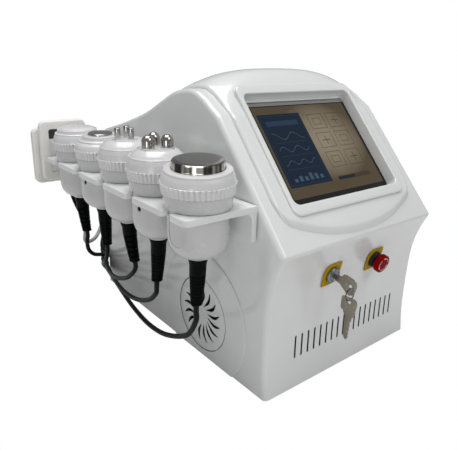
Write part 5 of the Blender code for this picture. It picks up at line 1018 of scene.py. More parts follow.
class CONSOLE_OT_controls(bpy.types.Operator):
    """Yellow plates, key switch and emergency stop"""
    bl_idname = "console.controls"
    bl_label = "Controls"

    def placed(self, made, x):
        made.data.transform(control_matrix(x))
        return made

    def plate(self, x, hole, name, node):
        half = PLATE_SIZE / 2
        line = []
        corners = ((1, 1, PLATE_TIP), (-1, 1, PLATE_ROUND), (-1, -1, PLATE_TIP), (1, -1, PLATE_ROUND))
        for quarter, (sa, sb, radius) in enumerate(corners):
            start = quarter * pi / 2
            line += arc(sa * (half - radius), sb * (half - radius), radius, start, start + pi / 2, 12)
        made = slab(name, [(a, b, GAP) for a, b in line], (0, 0, PLATE_THICKNESS))
        carve(made, between("hole", circle(hole, 48), 2, -0.002, 0.004))
        soften(made, 0.0003, 2)
        finished(self.placed(made, x), name, "yellow", "machine", (node,))

    def execute(self, context):
        face = 2 * GAP + PLATE_THICKNESS
        self.plate(KEY_X, KEY_BORE, "key_switch_plate", "key_plate")
        self.plate(ESTOP_X, ESTOP_BORE, "stop_plate", "estop_plate")
        self.lock(face)
        self.stop(face)
        return {"FINISHED"}

    def lock(self, face):
        """Chrome ring and barrel of the key switch, over its plate's face."""
        top = face + LOCK_PROUD
        rows = rounded_rows([
            (0.0067, LOCK_END), (0.0088, LOCK_END), (0.0088, face), (0.0125, face),
            (0.0125, top - 0.0018, 0.0005), (0.0107, top, 0.0006), (0.0085, top, 0.0005),
            (0.0078, top - 0.0014), (0.0067, top - 0.0018)])
        finished(self.placed(turned_ring("lock", rows), KEY_X), "lock_ring", "lock_chrome", "machine",
                 ("lock_body",))

    def stop(self, face):
        """Collar and red head of the emergency stop."""
        collar = face + COLLAR_PROUD
        rows = rounded_rows([
            (0.0031, ESTOP_END), (0.0078, ESTOP_END), (0.0078, face), (0.0128, face),
            (0.0128, face + 0.0020, 0.0004), (0.0120, face + 0.0024), (0.0120, collar, 0.0008),
            (0.0031, collar)])
        finished(self.placed(turned_ring("collar", rows, 64), ESTOP_X), "stop_collar", "black", "machine",
                 ("estop_body",))
        under = collar + HEAD_CLEARANCE
        rows = rounded_rows([
            (0.0031, under + 0.0050), (0.0031, under), (0.0128, under), (0.0142, under + 0.0014, 0.0012),
            (0.0142, under + 0.0086, 0.0014), (0.0126, under + 0.0089, 0.0008), (0.0002, under + 0.0092),
            (0.0002, under + 0.0050)], 5)
        finished(self.placed(turned_ring("head", rows), ESTOP_X), "stop_head", "red", "estop_head_link",
                 ("estop_head",), 40)
        self.arrows(under + 0.00885)

    def arrows(self, level):
        """Three curved arrows on the stop's head."""
        arrows = []
        for i in range(3):
            start = radians(120 * i + 8)
            end, tip = start + radians(78), start + radians(100)
            band = arc(0, 0, 0.0103, start, end, 10) + arc(0, 0, 0.0096, start, end, 10)[::-1]
            head = [(r * cos(a), r * sin(a)) for r, a in ((0.0112, end), (0.0099, tip), (0.0086, end))]
            for line in (band, head):
                arrows.append(slab("arrow", [(a, b, level) for a, b in line], (0, 0, 0.00025)))
        finished(self.placed(joined(arrows, "arrows"), ESTOP_X), "stop_arrows", "arrow_white",
                 "estop_head_link", ())


class CONSOLE_OT_keys(bpy.types.Operator):
    """Stamped keys: one in the lock, the longer one hanging from the ring"""
    bl_idname = "console.keys"
    bl_label = "Keys"

    # Outlines in millimetres from the ring's hole: along the key towards the bow's end, and across.
    in_lock = ((-48.5, -3.4), (-26.0, -3.6), (-24.0, -4.8), (-18.0, -5.0), (-5.0, -11.6), (-1.0, -12.7),
               (2.6, -12.5), (6.4, -9.6), (8.5, -3.0), (8.5, 5.0), (6.0, 10.2), (2.6, 10.9), (2.2, 12.3),
               (-11.5, 12.7), (-15.0, 11.4), (-17.6, 6.0), (-24.0, 4.8), (-26.0, 3.6), (-48.5, 3.4))
    spare = ((-58.4, -1.0), (-54.5, -3.0), (-50.5, -2.6), (-48.5, -3.5), (-46.8, -2.0), (-44.6, -3.7),
             (-41.0, -3.7), (-39.4, -2.3), (-37.4, -4.2), (-33.0, -4.4), (-31.4, -2.9), (-29.4, -5.6),
             (-22.5, -6.8), (-20.5, -9.4), (-3.0, -12.7), (2.0, -12.6), (5.4, -10.4), (6.3, -7.0), (6.3, 8.0),
             (5.0, 11.8), (2.0, 12.7), (-12.5, 12.7), (-14.2, 11.6), (-15.6, 8.4), (-19.5, 6.8), (-24.0, 4.0),
             (-54.0, 3.7), (-57.8, 1.6))

    def flat(self, outline):
        """One key cut from plate, with its ring hole and a groove down both sides of its blade."""
        half = 0.0010
        made = slab("key", [(-half, b * 0.001, a * 0.001) for a, b in outline], (2 * half, 0.0, 0.0))
        hole = [(b, a - 0.0002) for a, b in circle(0.00336, 36)]
        carve(made, between("hole", hole, 0, -0.003, 0.003), solver="MANIFOLD")
        groove = [(-0.0006, -0.047), (-0.0006, -0.021), (0.0009, -0.021), (0.0009, -0.047)]
        for low, high in ((half - 0.0003, half + 0.0017), (-half - 0.002, -half + 0.0003)):
            carve(made, between("groove", groove, 0, low, high), solver="MANIFOLD")
        return soften(made, 0.00022, 2, 40)

    def execute(self, context):
        in_lock = control_matrix(KEY_X) @ Matrix.Translation((0.0, 0.0, KEY_HOLE_OUT))
        for outline, place, name, body, node in (
                (self.in_lock, in_lock, "lock_key", "key_link", "key"),
                (self.spare, Matrix.Translation(SPARE_HOLE), "hanging_key", "spare_link", "spare_key")):
            made = self.flat(outline)
            made.data.transform(place)
            finished(made, name, "key", body, (node,), 35)
        return {"FINISHED"}


class CONSOLE_OT_shelf(bpy.types.Operator):
    """Shelf with keyhole seats, rounded all over"""
    bl_idname = "console.shelf"
    bl_label = "Shelf"

    def mouth(self, x, y, first):
        r = PRONG_RADIUS
        return arc(x + r, y - r, r, pi, pi / 2, 6) if first else arc(x + r, y + r, r, -pi / 2, -pi, 6)

    def execute(self, context):
        outer, inner = -SHELF_REACH, -GAP - PAD_RISE
        back = PADDLE_Y + SHELF_TAIL
        line = arc(outer + SHELF_CORNER, SHELF_FRONT + SHELF_CORNER, SHELF_CORNER, -pi / 2, -pi, 8)
        half = LEAD_SLOT_WIDTH / 2
        for (x, y), radius in zip(HAND_AT, SEAT_RADIUS):
            line += self.mouth(outer, y - half, True)
            away = pi - atan2(half, sqrt(radius ** 2 - half ** 2))
            line += arc(x, y, radius, -away, away, 60)
            line += self.mouth(outer, y + half, False)
        wide = PADDLE_DEPTH / 2 + SEAT_CLEARANCE
        end = PADDLE_X + PADDLE_WIDTH / 2 + SEAT_CLEARANCE
        line += self.mouth(outer, PADDLE_Y - wide, True)
        line += [(end, PADDLE_Y - wide), (end, PADDLE_Y + wide)]
        line += self.mouth(outer, PADDLE_Y + wide, False)
        line += arc(outer + SHELF_CORNER, back - SHELF_CORNER, SHELF_CORNER, pi, pi / 2, 8)
        line += [(-SHELF_INNER_SETBACK, back), (-SHELF_INNER_SETBACK, SHELF_FLANGE_END),
                 (inner, SHELF_FLANGE_END), (inner, SHELF_FRONT)]
        low = SHELF_TOP - SHELF_THICKNESS
        shelf = slab("shelf", [(x, y, low) for x, y in line], (0, 0, SHELF_THICKNESS))
        face = inner - SHELF_FLANGE_THICKNESS
        foot = SHELF_TOP - SHELF_FLANGE_HEIGHT
        half_up, start = low + SHELF_THICKNESS / 2, face - SHELF_FILLET
        section = [(inner, foot), (inner, half_up), (start, half_up), (start, low)]
        section += arc(face - SHELF_FILLET, low - SHELF_FILLET, SHELF_FILLET, pi / 2, 0.0, 10)[1:]
        section += [(face, foot)]
        flange = slab("flange", [(x, SHELF_FRONT + 0.001, z) for x, z in section],
                      (0, SHELF_FLANGE_END - SHELF_FRONT - 0.002, 0))
        carve(shelf, flange, "UNION")
        soften(shelf, 0.0010, 3, 50)
        finished(shelf, "shelf_moulding", "shelf", "machine", ("holder_shelf",), 40)
        return {"FINISHED"}


class CONSOLE_OT_handpieces(bpy.types.Operator):
    """Round handpieces: bulb, fluted cap, head and strain relief"""
    bl_idname = "console.handpieces"
    bl_label = "Round handpieces"

    def execute(self, context):
        for number in range(5):
            self.body(number)
            self.cap(number)
            self.head(number)
            self.relief(number)
        return {"FINISHED"}

    def dress(self, made, number, name, finish, node=None, slot="white_cap", angle=35):
        """Finish one piece of a handpiece, in place of a node of the part where one is named."""
        hand = "hand%d_" % (number + 1)
        finished(made, hand + name, finish, hand + "link", (hand + node,) if node else (), angle)

    def bulb_rows(self, number, wall=0.0):
        """Half profile of the bulb and of the cup over the shelf, drawn in by a wall."""
        collar, seat = COLLAR_RADIUS[number], SEAT_RADIUS[number] - SEAT_CLEARANCE
        shoulder = collar * 0.88
        bulb = min(seat, collar * 0.81)
        ball = BULB_HEIGHT - NECK_HEIGHT
        rows = [(NECK_RADIUS * 0.94, NECK_HEIGHT), (NECK_RADIUS, NECK_HEIGHT + 0.0005)]
        start = asin((NECK_RADIUS / bulb) ** (1 / BULB_FULLNESS))
        for i in range(1, 29):
            a = start + (pi / 2 - start) * i / 28
            drop = (ball - 0.0012) * abs(cos(a)) ** BULB_FULLNESS
            rows.append((bulb * sin(a) ** BULB_FULLNESS, BULB_HEIGHT - drop))
        low, under = rows[-1][1], SHELF_TOP - SHELF_THICKNESS
        for i in range(1, 9):
            u = i / 8
            rows.append((bulb + (seat - bulb) * u * u * (3 - 2 * u), low + (under - low) * u))
        rows += rounded_rows([
            (seat, SHELF_TOP - 0.004), (seat, SHELF_TOP + GAP), (shoulder, SHELF_TOP + GAP, 0.0010),
            (shoulder + 0.0006, 0.2830), (shoulder + 0.0012, COLLAR_BOTTOM - 2 * GAP)])
        return [(radius - wall, height) for radius, height in rows]

    def body(self, number):
        """Bulb with a fine seam, and with the pocket or the ports of some handpieces, each port's hole lined
        in black as painted shade.
        """
        centre = HAND_AT[number]
        inner = COLLAR_RADIUS[number] - 2 * CAP_WALL - 0.0004
        rows = self.bulb_rows(number) + [(inner, COLLAR_BOTTOM - 2 * GAP), (inner, INNER_RIM_TOP)]

        def seam(x, y, z, far):
            if far < NECK_RADIUS or z >= COLLAR_BOTTOM - 0.001 or abs(x) >= SEAM_HALF:
                return 0.0
            return SEAM_DEPTH * (1 - (x / SEAM_HALF) ** 2)
        made = drawn_in(turned("bulb", rows, 144, centre), centre, seam)

        def turn(height, degrees):
            return Matrix.Translation((*centre, height)) @ Matrix.Rotation(radians(degrees), 4, "Z")
        if number == 0:
            high, low, half = 0.2700, 0.2450, 0.0145
            line = arc(0.0, high, half, 0.0, pi, 24) + arc(0.0, low, half, pi, 2 * pi, 24)
            pocket = between("pocket", line, 0, 0.025, 0.060)
            pocket.data.transform(turn(0.0, 191))
            carve(pocket, turned("core", self.bulb_rows(number, 0.0008), 144, centre), solver="MANIFOLD")
            carve(made, pocket, solver="MANIFOLD")
        if number in (1, 3):
            place = turn(0.2560, 194) @ Matrix.Rotation(pi / 2, 4, "Y")
            hole = turned("hole", [(0.0033, 0.0310), (0.0033, 0.0335), (0.0040, 0.0420)], 32)
            hole.data.transform(place)
            carve(made, hole, solver="MANIFOLD")
            # Painted shade: a black cup lines the port's hole so that it reads dark.
            port = turned("port", [(0.0032, 0.0312), (0.0032, 0.0338), (0.0025, 0.0338), (0.0025, 0.0318),
                                   (0.0003, 0.0318)], 32)
            port.data.transform(place)
            self.dress(port, number, "port", "black", slot="black_plastic", angle=32)
            outline = rounded_rectangle(0.0018, 0.0066, 0.0008, 4, 0.0, 0.2800)
            slit = between("slit", outline, 0, 0.0370, 0.0384)
            slit.data.transform(turn(0.0, 182))
            self.dress(slit, number, "lamp_slit", "black", slot="black_plastic", angle=32)
        self.dress(made, number, "bulb", "bulb", "body", "white_shell")

    def tipped(self, made, number):
        """Slope a cap's or head's top a little, growing from the fluted ring upward."""
        for vertex in made.data.vertices:
            share = clamp((vertex.co.z - COLLAR_BOTTOM - 0.004) / 0.018)
            away = sum((vertex.co[i] - HAND_AT[number][i]) * RISES_TOWARDS[i] for i in range(2))
            vertex.co.z += TOP_SLOPE[number] * away * share * share * (3 - 2 * share)
        return made

    def cap_rows(self, number):
        """Rows over the fluted ring: share of the ring's radius, share of the cap's height, rounding."""
        studded = [(0.955, 0.04, 0.0006), (0.945, 0.30, 0.004), (0.922, 0.72, 0.006), (0.893, 1.01, 0.003),
                   (0.884, 1.05, 0.0004), (0.884, 1.19, 0.0008), (0.870, 1.24, 0.0005), (0.852, 1.21, 0.0008),
                   (0.838, 1.25, 0.0020), (0.775, 1.50, 0.0060), (0.690, 1.74, 0.0080), (0.622, 1.87, 0.0030),
                   (0.600, 1.93, 0.0010)]
        return {
            0: [(0.958, 0.03, 0.0006), (0.950, 0.26, 0.004), (0.925, 0.60, 0.006), (0.896, 0.83, 0.003),
                (0.886, 0.88, 0.0004), (0.886, 1.03, 0.0010), (0.872, 1.10, 0.0008), (0.790, 1.17, 0.0020)],
            1: studded,
            2: studded,
            3: [(0.955, 0.04, 0.0006), (0.945, 0.30, 0.004), (0.905, 0.66, 0.006), (0.828, 0.90, 0.003),
                (0.818, 0.94, 0.0004), (0.818, 1.06, 0.0008), (0.800, 1.11, 0.0006), (0.715, 1.10, 0.0010),
                (0.678, 1.20, 0.0020), (0.664, 1.48, 0.0010), (0.652, 1.61, 0.0012), (0.600, 1.63, 0.0010)],
            4: [(0.955, 0.04, 0.0006), (0.948, 0.30, 0.004), (0.922, 0.64, 0.006), (0.888, 0.90, 0.003),
                (0.878, 0.95, 0.0004), (0.878, 1.08, 0.0008), (0.862, 1.13, 0.0006), (0.815, 1.12, 0.0010),
                (0.790, 1.22, 0.0020), (0.778, 1.48, 0.0010), (0.765, 1.60, 0.0012), (0.730, 1.63, 0.0010)],
        }[number]

    def cap(self, number):
        """Fluted ring and stepped top, hollow below, with an opening for the head."""
        settings = bpy.context.scene.handpiece_settings
        flutes, depth = settings.flutes, settings.flute_depth
        centre = HAND_AT[number]
        collar = COLLAR_RADIUS[number]
        tall = CAP_TOP - COLLAR_TOP
        opening = HEAD_RADIUS[number] + 0.0004
        wall = collar - CAP_WALL
        outer = self.cap_rows(number)
        start = COLLAR_BOTTOM + 0.0006
        high = COLLAR_TOP - COLLAR_BOTTOM - 0.0012
        foot = collar - CAP_FLARE
        rows = [(wall, COLLAR_BOTTOM), (foot - 0.0006, COLLAR_BOTTOM), (foot, start)]
        rows += [(collar - CAP_FLARE * (1 - u ** 2.2), start + high * u) for u in spread(0.0, 1.0, 8)]
        rows += [(collar - 0.0001, COLLAR_TOP - 0.0003), (collar - 0.0005, COLLAR_TOP)]
        steps = [(collar * share, COLLAR_TOP + tall * height, rounding) for share, height, rounding in outer]
        last = (opening, COLLAR_TOP + tall * outer[-1][1])
        rows += rounded_rows([(collar * 0.966, COLLAR_TOP)] + steps + [last], 5)
        ledge = INNER_RIM_TOP + 2 * GAP
        rows += [(opening, ledge), (wall - CAP_WALL, ledge), (wall - CAP_WALL, COLLAR_BOTTOM + 0.0032),
                 (wall, COLLAR_BOTTOM + 0.0032)]

        def flute(x, y, z, far):
            inside = far < collar - CAP_FLARE - 0.0010 or far < collar * 0.968 and z > COLLAR_TOP - 0.0001
            if inside or z > COLLAR_TOP + 0.0001:
                return 0.0
            share = 0.45 + 0.55 * (z - COLLAR_BOTTOM) / (COLLAR_TOP - COLLAR_BOTTOM)
            return depth * share * (1 - abs(sin(flutes * atan2(y, x) / 2))) ** 1.2
        made = drawn_in(turned_ring("cap", rows, flutes * 8, centre), centre, flute)
        finish = "cap" if number < 4 else "violet_cap"
        self.dress(self.tipped(made, number), number, "screw_cap", finish, "cap", angle=40)

    def head(self, number):
        """Metal disc, small disc, pearl dome, or a lid with three studs."""
        centre = HAND_AT[number]
        radius = HEAD_RADIUS[number]
        base = INNER_RIM_TOP + GAP
        top = COLLAR_TOP + (CAP_TOP - COLLAR_TOP) * self.cap_rows(number)[-1][1]
        if number in STUDS:
            self.studded(number, centre, radius, base, top)
            return
        if number == 0:
            face = CAP_TOP + 0.0125
            rows = rounded_rows([
                (radius, base), (radius, top + 0.0008, 0.0003), (radius - 0.0006, top + 0.0011, 0.0002),
                (radius - 0.0006, face - 0.0018, 0.0004), (radius - 0.0024, face - 0.0003, 0.0006),
                (radius - 0.0070, face, 0.0020), (0.0004, face)], 4)
            sides, finish, slot, angle = 144, "disc", "chrome", 30
        elif number == 3:
            rows = rounded_rows([
                (radius, base), (radius, top + 0.0022, 0.0006), (radius - 0.0016, top + 0.0030, 0.0008),
                (0.0004, top + 0.0032)], 4)
            sides, finish, slot, angle = 96, "small_disc", "chrome", 40
        else:
            rows = [(radius, base), (radius, top)] + dome(radius, top, 0.0038)
            sides, finish, slot, angle = 96, "dome", "white_cap", 60
        made = self.tipped(turned("head", rows, sides, centre), number)
        self.dress(made, number, "contact", finish, "head", slot, angle)

    def studded(self, number, centre, radius, base, top):
        """A white lid that carries three metal studs, each in a small rim."""
        r, rise, circle_radius, turn = STUDS[number]
        lid = turned("lid", rounded_rows([
            (radius, base), (radius, top + 0.0002, 0.0004), (radius - 0.004, top + 0.0006, 0.004),
            (0.0004, top + 0.0010)], 5), 96, centre)
        straight = top + rise - r
        rim = r + 0.0009
        rows = [(r * 0.96, top - 0.0040), (r * 0.96, top + 0.0026), (r, top + 0.0030)]
        if number == 1:
            rows += [(r, straight)] + dome(r, straight, r)
        else:
            rows += [(r, straight + r * 0.62), (r * 0.95, straight + r * 0.80),
                     (r * 0.80, straight + r * 0.92), (r * 0.40, straight + r * 0.98), (0.0004, straight + r)]
        well = rounded_rows([(rim - 0.0004, top - 0.003), (rim, top + 0.0016, 0.0006),
                             (r + 0.0002, top + 0.0018)], 4)
        studs = []
        for i in range(3):
            a = 2 * pi * i / 3 + turn
            place = (centre[0] + circle_radius * cos(a), centre[1] + circle_radius * sin(a))
            carve(lid, turned("well", well, 48, place), "UNION", "MANIFOLD")
            studs.append(turned("stud", rows, 48, place))
        self.dress(self.tipped(lid, number), number, "lid", "cap")
        studs = self.tipped(joined(studs, "studs"), number)
        self.dress(studs, number, "contact", "chrome", "head", "chrome", 40)

    def relief(self, number):
        made = strain_relief(number + 1, RELIEF_LENGTH, number in (2, 4), HAND_AT[number], 1.0)
        self.dress(made, number, "sleeve", "rubber", "relief", "black_rubber", 32)


def strain_relief(number, length, ribbed, centre, scale):
    """Rubber sleeve hanging from a neck: a flared top, a plain part, then grooves or staggered slots."""
    top = NECK_HEIGHT - GAP
    tip = top - length
    first, last = 0.0112 * scale, 0.0084 * scale
    plain, count, deep, cut = (0.28, 10, 0.0046, 0.50) if ribbed else (0.30, 9, 0.0011, 0.66)
    z = top - length * plain
    rows = [(0.0126 * scale, top), (0.0130 * scale, top - 0.0006), (0.0129 * scale, top - 0.0024),
            (0.0117 * scale, top - 0.0062), (first, top - 0.0095), (first * 0.99, z)]
    pitch = (z - tip - 0.0035) / count
    marks = []
    for i in range(count):
        radius = first + (last - first) * (i + 0.5) / count
        rows += [(radius - drop, z - pitch * share) for drop, share in (
            (0.0, 0.03), (0.0, cut - 0.08), (0.0004, cut - 0.02), (deep * scale, cut), (deep * scale, 0.95),
            (0.0004, 0.97))]
        marks.append((z - pitch * (cut - 0.01), z - pitch * 0.96, radius, i))
        z -= pitch
    rows += [(last, z - 0.0006), (last, tip + 0.0006), (last - 0.0006, tip), (0.0040, tip)]

    def bridges(x, y, height, far):
        for high, low, radius, i in marks:
            if low - 0.0002 < height < high + 0.0002 and 0.0030 < far < radius - 0.0008:
                turn = (atan2(y, x) + radians(35) + (pi / 2 if i % 2 else 0.0)) % pi
                share = clamp((radians(36) - min(turn, pi - turn)) / radians(8))
                return -(radius - 0.0003 - far) * share
        return 0.0
    made = turned("relief", rows, 72, centre)
    if ribbed:
        drawn_in(made, centre, bridges)
    for vertex in made.data.vertices:
        share = clamp((top - vertex.co.z) / length) ** 1.6
        vertex.co.x += RELIEF_LEAN[number][0] * share
        vertex.co.y += RELIEF_LEAN[number][1] * share
    return made


class CONSOLE_OT_paddle(bpy.types.Operator):
    """Flat handpiece at the shelf's end"""
    bl_idname = "console.paddle"
    bl_label = "Flat handpiece"

    def execute(self, context):
        front = PADDLE_Y - PADDLE_DEPTH / 2
        middle = PADDLE_BOTTOM + PADDLE_HEIGHT / 2
        self.front_half(front, middle)
        self.back_half(front + PADDLE_FRAME_DEPTH + PADDLE_JOINT_GAP, middle)
        sleeve = strain_relief(6, PADDLE_RELIEF_LENGTH, True, (PADDLE_NECK_X, PADDLE_Y), PADDLE_RELIEF_SCALE)
        finished(sleeve, "paddle_sleeve", "rubber", "hand6_link", ("hand6_relief",), 32)
        return {"FINISHED"}

    def front_half(self, front, middle):
        """Frame with its recess and lug, and the window in it."""
        face = self.sheet(PADDLE_WIDTH, PADDLE_HEIGHT, PADDLE_FRAME_DEPTH, PADDLE_X, middle, front)
        wide, high = PADDLE_WIDTH - 2 * WINDOW_BORDER, PADDLE_HEIGHT - 2 * WINDOW_BORDER
        recess = rounded_rectangle(wide, high, 0.004, 8, PADDLE_X, middle)
        carve(face, between("recess", recess, 1, front - 0.002, front + WINDOW_DEPTH), solver="MANIFOLD")
        side = PADDLE_X + PADDLE_WIDTH / 2 - WINDOW_BORDER / 2
        lug = self.block(side, 0.008, front - 0.0045, front + 0.004)
        carve(face, lug, "UNION", "MANIFOLD")
        finished(face, "paddle_front", "ivory", "hand6_link", ("hand6_face",), 35)
        line = rounded_rectangle(wide - 0.0006, high - 0.0006, 0.0037, 8, PADDLE_X, middle)
        pane = between("window", line, 1, front + WINDOW_DEPTH - GAP, front + 0.002)
        finished(soften(pane, 0.0004), "paddle_window", "window", "hand6_link", ("hand6_window",))

    def back_half(self, front, middle):
        """Back shell with the web that meets the frame, its neck and its lug."""
        height = PADDLE_HEIGHT - PADDLE_BACK_DROP / 2
        back = self.sheet(PADDLE_WIDTH, height, PADDLE_BACK_DEPTH, PADDLE_X - PADDLE_BACK_SHIFT,
                          PADDLE_BOTTOM - PADDLE_BACK_DROP / 2 + height / 2, front)
        web = rounded_rectangle(PADDLE_WIDTH - 4 * PADDLE_RADIUS, PADDLE_HEIGHT - 4 * PADDLE_RADIUS,
                                PADDLE_RADIUS, 6, PADDLE_X, middle)
        near, far = front - PADDLE_JOINT_GAP + GAP, front + PADDLE_BACK_DEPTH / 2
        carve(back, between("web", web, 1, near, far), "UNION", "MANIFOLD")
        rings = []
        for share, z in ((0.80, NECK_HEIGHT), (0.90, NECK_HEIGHT + 0.0012), (0.97, NECK_HEIGHT + 0.006),
                         (1.0, NECK_HEIGHT + 0.012), (1.0, PADDLE_BOTTOM - GAP)):
            line = rounded_rectangle(PADDLE_NECK_WIDTH * share, PADDLE_NECK_DEPTH * share, 0.0060 * share, 8,
                                     PADDLE_NECK_X, PADDLE_Y)
            rings.append([(x, y, z) for x, y in line])
        clipped = [(x, max(y, front + 0.003), z) for x, y, z in rings[-1]]
        rings += [clipped, [(x, y, PADDLE_BOTTOM + 0.011) for x, y, z in clipped]]
        carve(back, loft("neck", rings), "UNION", "MANIFOLD")
        rear = PADDLE_Y + PADDLE_DEPTH / 2
        carve(back, self.block(PADDLE_NECK_X, 0.030, rear - 0.003, rear + 0.0045), "UNION", "MANIFOLD")
        finished(back, "paddle_back", "ivory", "hand6_link", ("hand6_body",), 35)

    def sheet(self, width, height, depth, x, z, front):
        """A flat plate with all its edges rounded."""
        steps = quarter(PADDLE_EDGE, 5)
        steps += [(inset, depth - level) for inset, level in reversed(steps)]
        rings = []
        for inset, level in steps:
            line = rounded_rectangle(width - 2 * inset, height - 2 * inset, PADDLE_RADIUS - inset * 0.8, 10,
                                     x, z)
            rings.append([(a, front + level, b) for a, b in line])
        return loft("sheet", rings)

    def block(self, x, width, near, far):
        """Small lug that rests on the shelf."""
        deselect()
        low = SHELF_TOP + GAP
        bpy.ops.mesh.primitive_cube_add(size=1.0, location=(x, (near + far) / 2, low + 0.0035),
                                        scale=(width, far - near, 0.007))
        bpy.ops.object.transform_apply(location=True, rotation=True, scale=True)
        return soften(bpy.context.object, 0.0012, 3)


class CONSOLE_OT_leads(bpy.types.Operator):
    """Leads from the handpieces to their plugs behind the rear panel"""
    bl_idname = "console.leads"
    bl_label = "Leads"

    def route(self, number):
        """Centre line of a lead, and its socket's height."""
        z = SOCKET_LOWEST + (number - 1) * SOCKET_PITCH
        x, y = (*HAND_AT, (PADDLE_NECK_X, PADDLE_Y))[number - 1]
        length = PADDLE_RELIEF_LENGTH if number == 6 else RELIEF_LENGTH
        start = Vector((x, y, NECK_HEIGHT - 2 * GAP - length))
        lean = Vector((*RELIEF_LEAN[number], 0.0))
        start += lean
        points = [start + lean * 0.18 + Vector((0, 0, -0.0105))]
        points += [Vector(p) + lean * max(0.0, 0.9 - 0.45 * i) for i, p in enumerate(LEAD_ROUTES[number])]
        corner_z = points[-1].z
        if number < 6:
            for share, (cx, cy) in zip((0.15, 0.5), LEAD_CORNER):
                points.append(Vector((cx, cy, corner_z + (z - corner_z) * share)))
        else:
            cx, cy = LEAD_CORNER[-1]
            points.append(Vector((cx, cy + GAP, corner_z + (z - corner_z) * 0.6)))
        points.append(Vector((*LEAD_LAST, z - (z - corner_z) * 0.06)))
        points.append(Vector((SOCKET_X, SOCKET_Y + PLUG_LENGTH + PLUG_NECK, z)))
        return [start] + smooth_line(points, 10), z

    def execute(self, context):
        for number in range(1, 7):
            line, z = self.route(number)
            line = [p + AT for p in line]
            tube = self.tube(line, LEAD_RADIUS, 20)
            length = sum((b - a).length for a, b in zip(line, line[1:]))
            finish, slot = ("grey_lead", "grey_rubber") if number == 6 else ("lead", "black_rubber")
            finished(tube, "lead%d_sheath" % number, finish, None, ("lead%d" % number,), 60,
                     shift=False)
            plug = self.plug(number, z)
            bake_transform(tube)
        return {"FINISHED"}

    def tube(self, line, radius, sides):
        """Round tube along a line, its rings turned with the least twist."""
        rings = []
        normal = Vector((1.0, 0.0, 0.0))
        for i, point in enumerate(line):
            forward = (line[min(i + 1, len(line) - 1)] - line[max(i - 1, 0)]).normalized()
            normal = (normal - forward * normal.dot(forward)).normalized()
            side = forward.cross(normal)
            rings.append([point + (normal * cos(a) + side * sin(a)) * radius
                          for a in (2 * pi * k / sides for k in range(sides))])
        return loft("tube", rings)

    def plug(self, number, z):
        """Plug: knurled nut at the panel, grip and tapered tail, laid along Y."""
        r, length = PLUG_RADIUS, PLUG_LENGTH
        rows = rounded_rows([
            (r * 0.74, GAP), (r * 0.74, 0.0042), (r * 0.96, 0.0044, 0.0004), (r * 0.98, 0.0110, 0.0006),
            (r * 0.86, 0.0114), (r * 0.86, 0.0122), (r * 0.97, 0.0126, 0.0005), (r * 0.92, 0.0215, 0.0020),
            (r * 0.62, length + 0.0010, 0.0010), (LEAD_RADIUS + 0.0002, length + PLUG_NECK - 0.0004)], 4)

        def knurl(x, y, z, far):
            on_nut = 0.0046 < z < 0.0108 and far > r * 0.9
            return 0.0002 * (1 + cos(20 * atan2(y, x))) if on_nut else 0.0
        made = drawn_in(turned("plug", rows, 60), (0.0, 0.0), knurl)
        made.data.transform(Matrix.Translation((SOCKET_X, SOCKET_Y, z)) @ Matrix.Rotation(-pi / 2, 4, "X"))
        return finished(made, "lead%d_plug" % number, "black", "machine", (), 35)


class CONSOLE_OT_frame_finishes(bpy.types.Operator):
    """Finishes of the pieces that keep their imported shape"""
    bl_idname = "console.frame_finishes"
    bl_label = "Finishes of the packed pieces"

    chosen = {
        "steel": ("base_plate", "display_module", "power_supply"),
        "board": ("control_board",),
        "black": ("estop_stem", "fan_frame", "fan_rotor", "power_inlet", "power_switch", "switch_frame"),
        "rubber": ("foot_front_left", "foot_front_right", "foot_rear_left", "foot_rear_right"),
        "ring_wire": ("key_ring",),
        "lock_chrome": ("lock_cylinder",),
        "housing": ("rear_panel",),
    }

    def execute(self, context):
        for finish, nodes in self.chosen.items():
            for slot in (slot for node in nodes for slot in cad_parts[node].material_slots):
                slot.material = finishes()[finish]
        return {"FINISHED"}


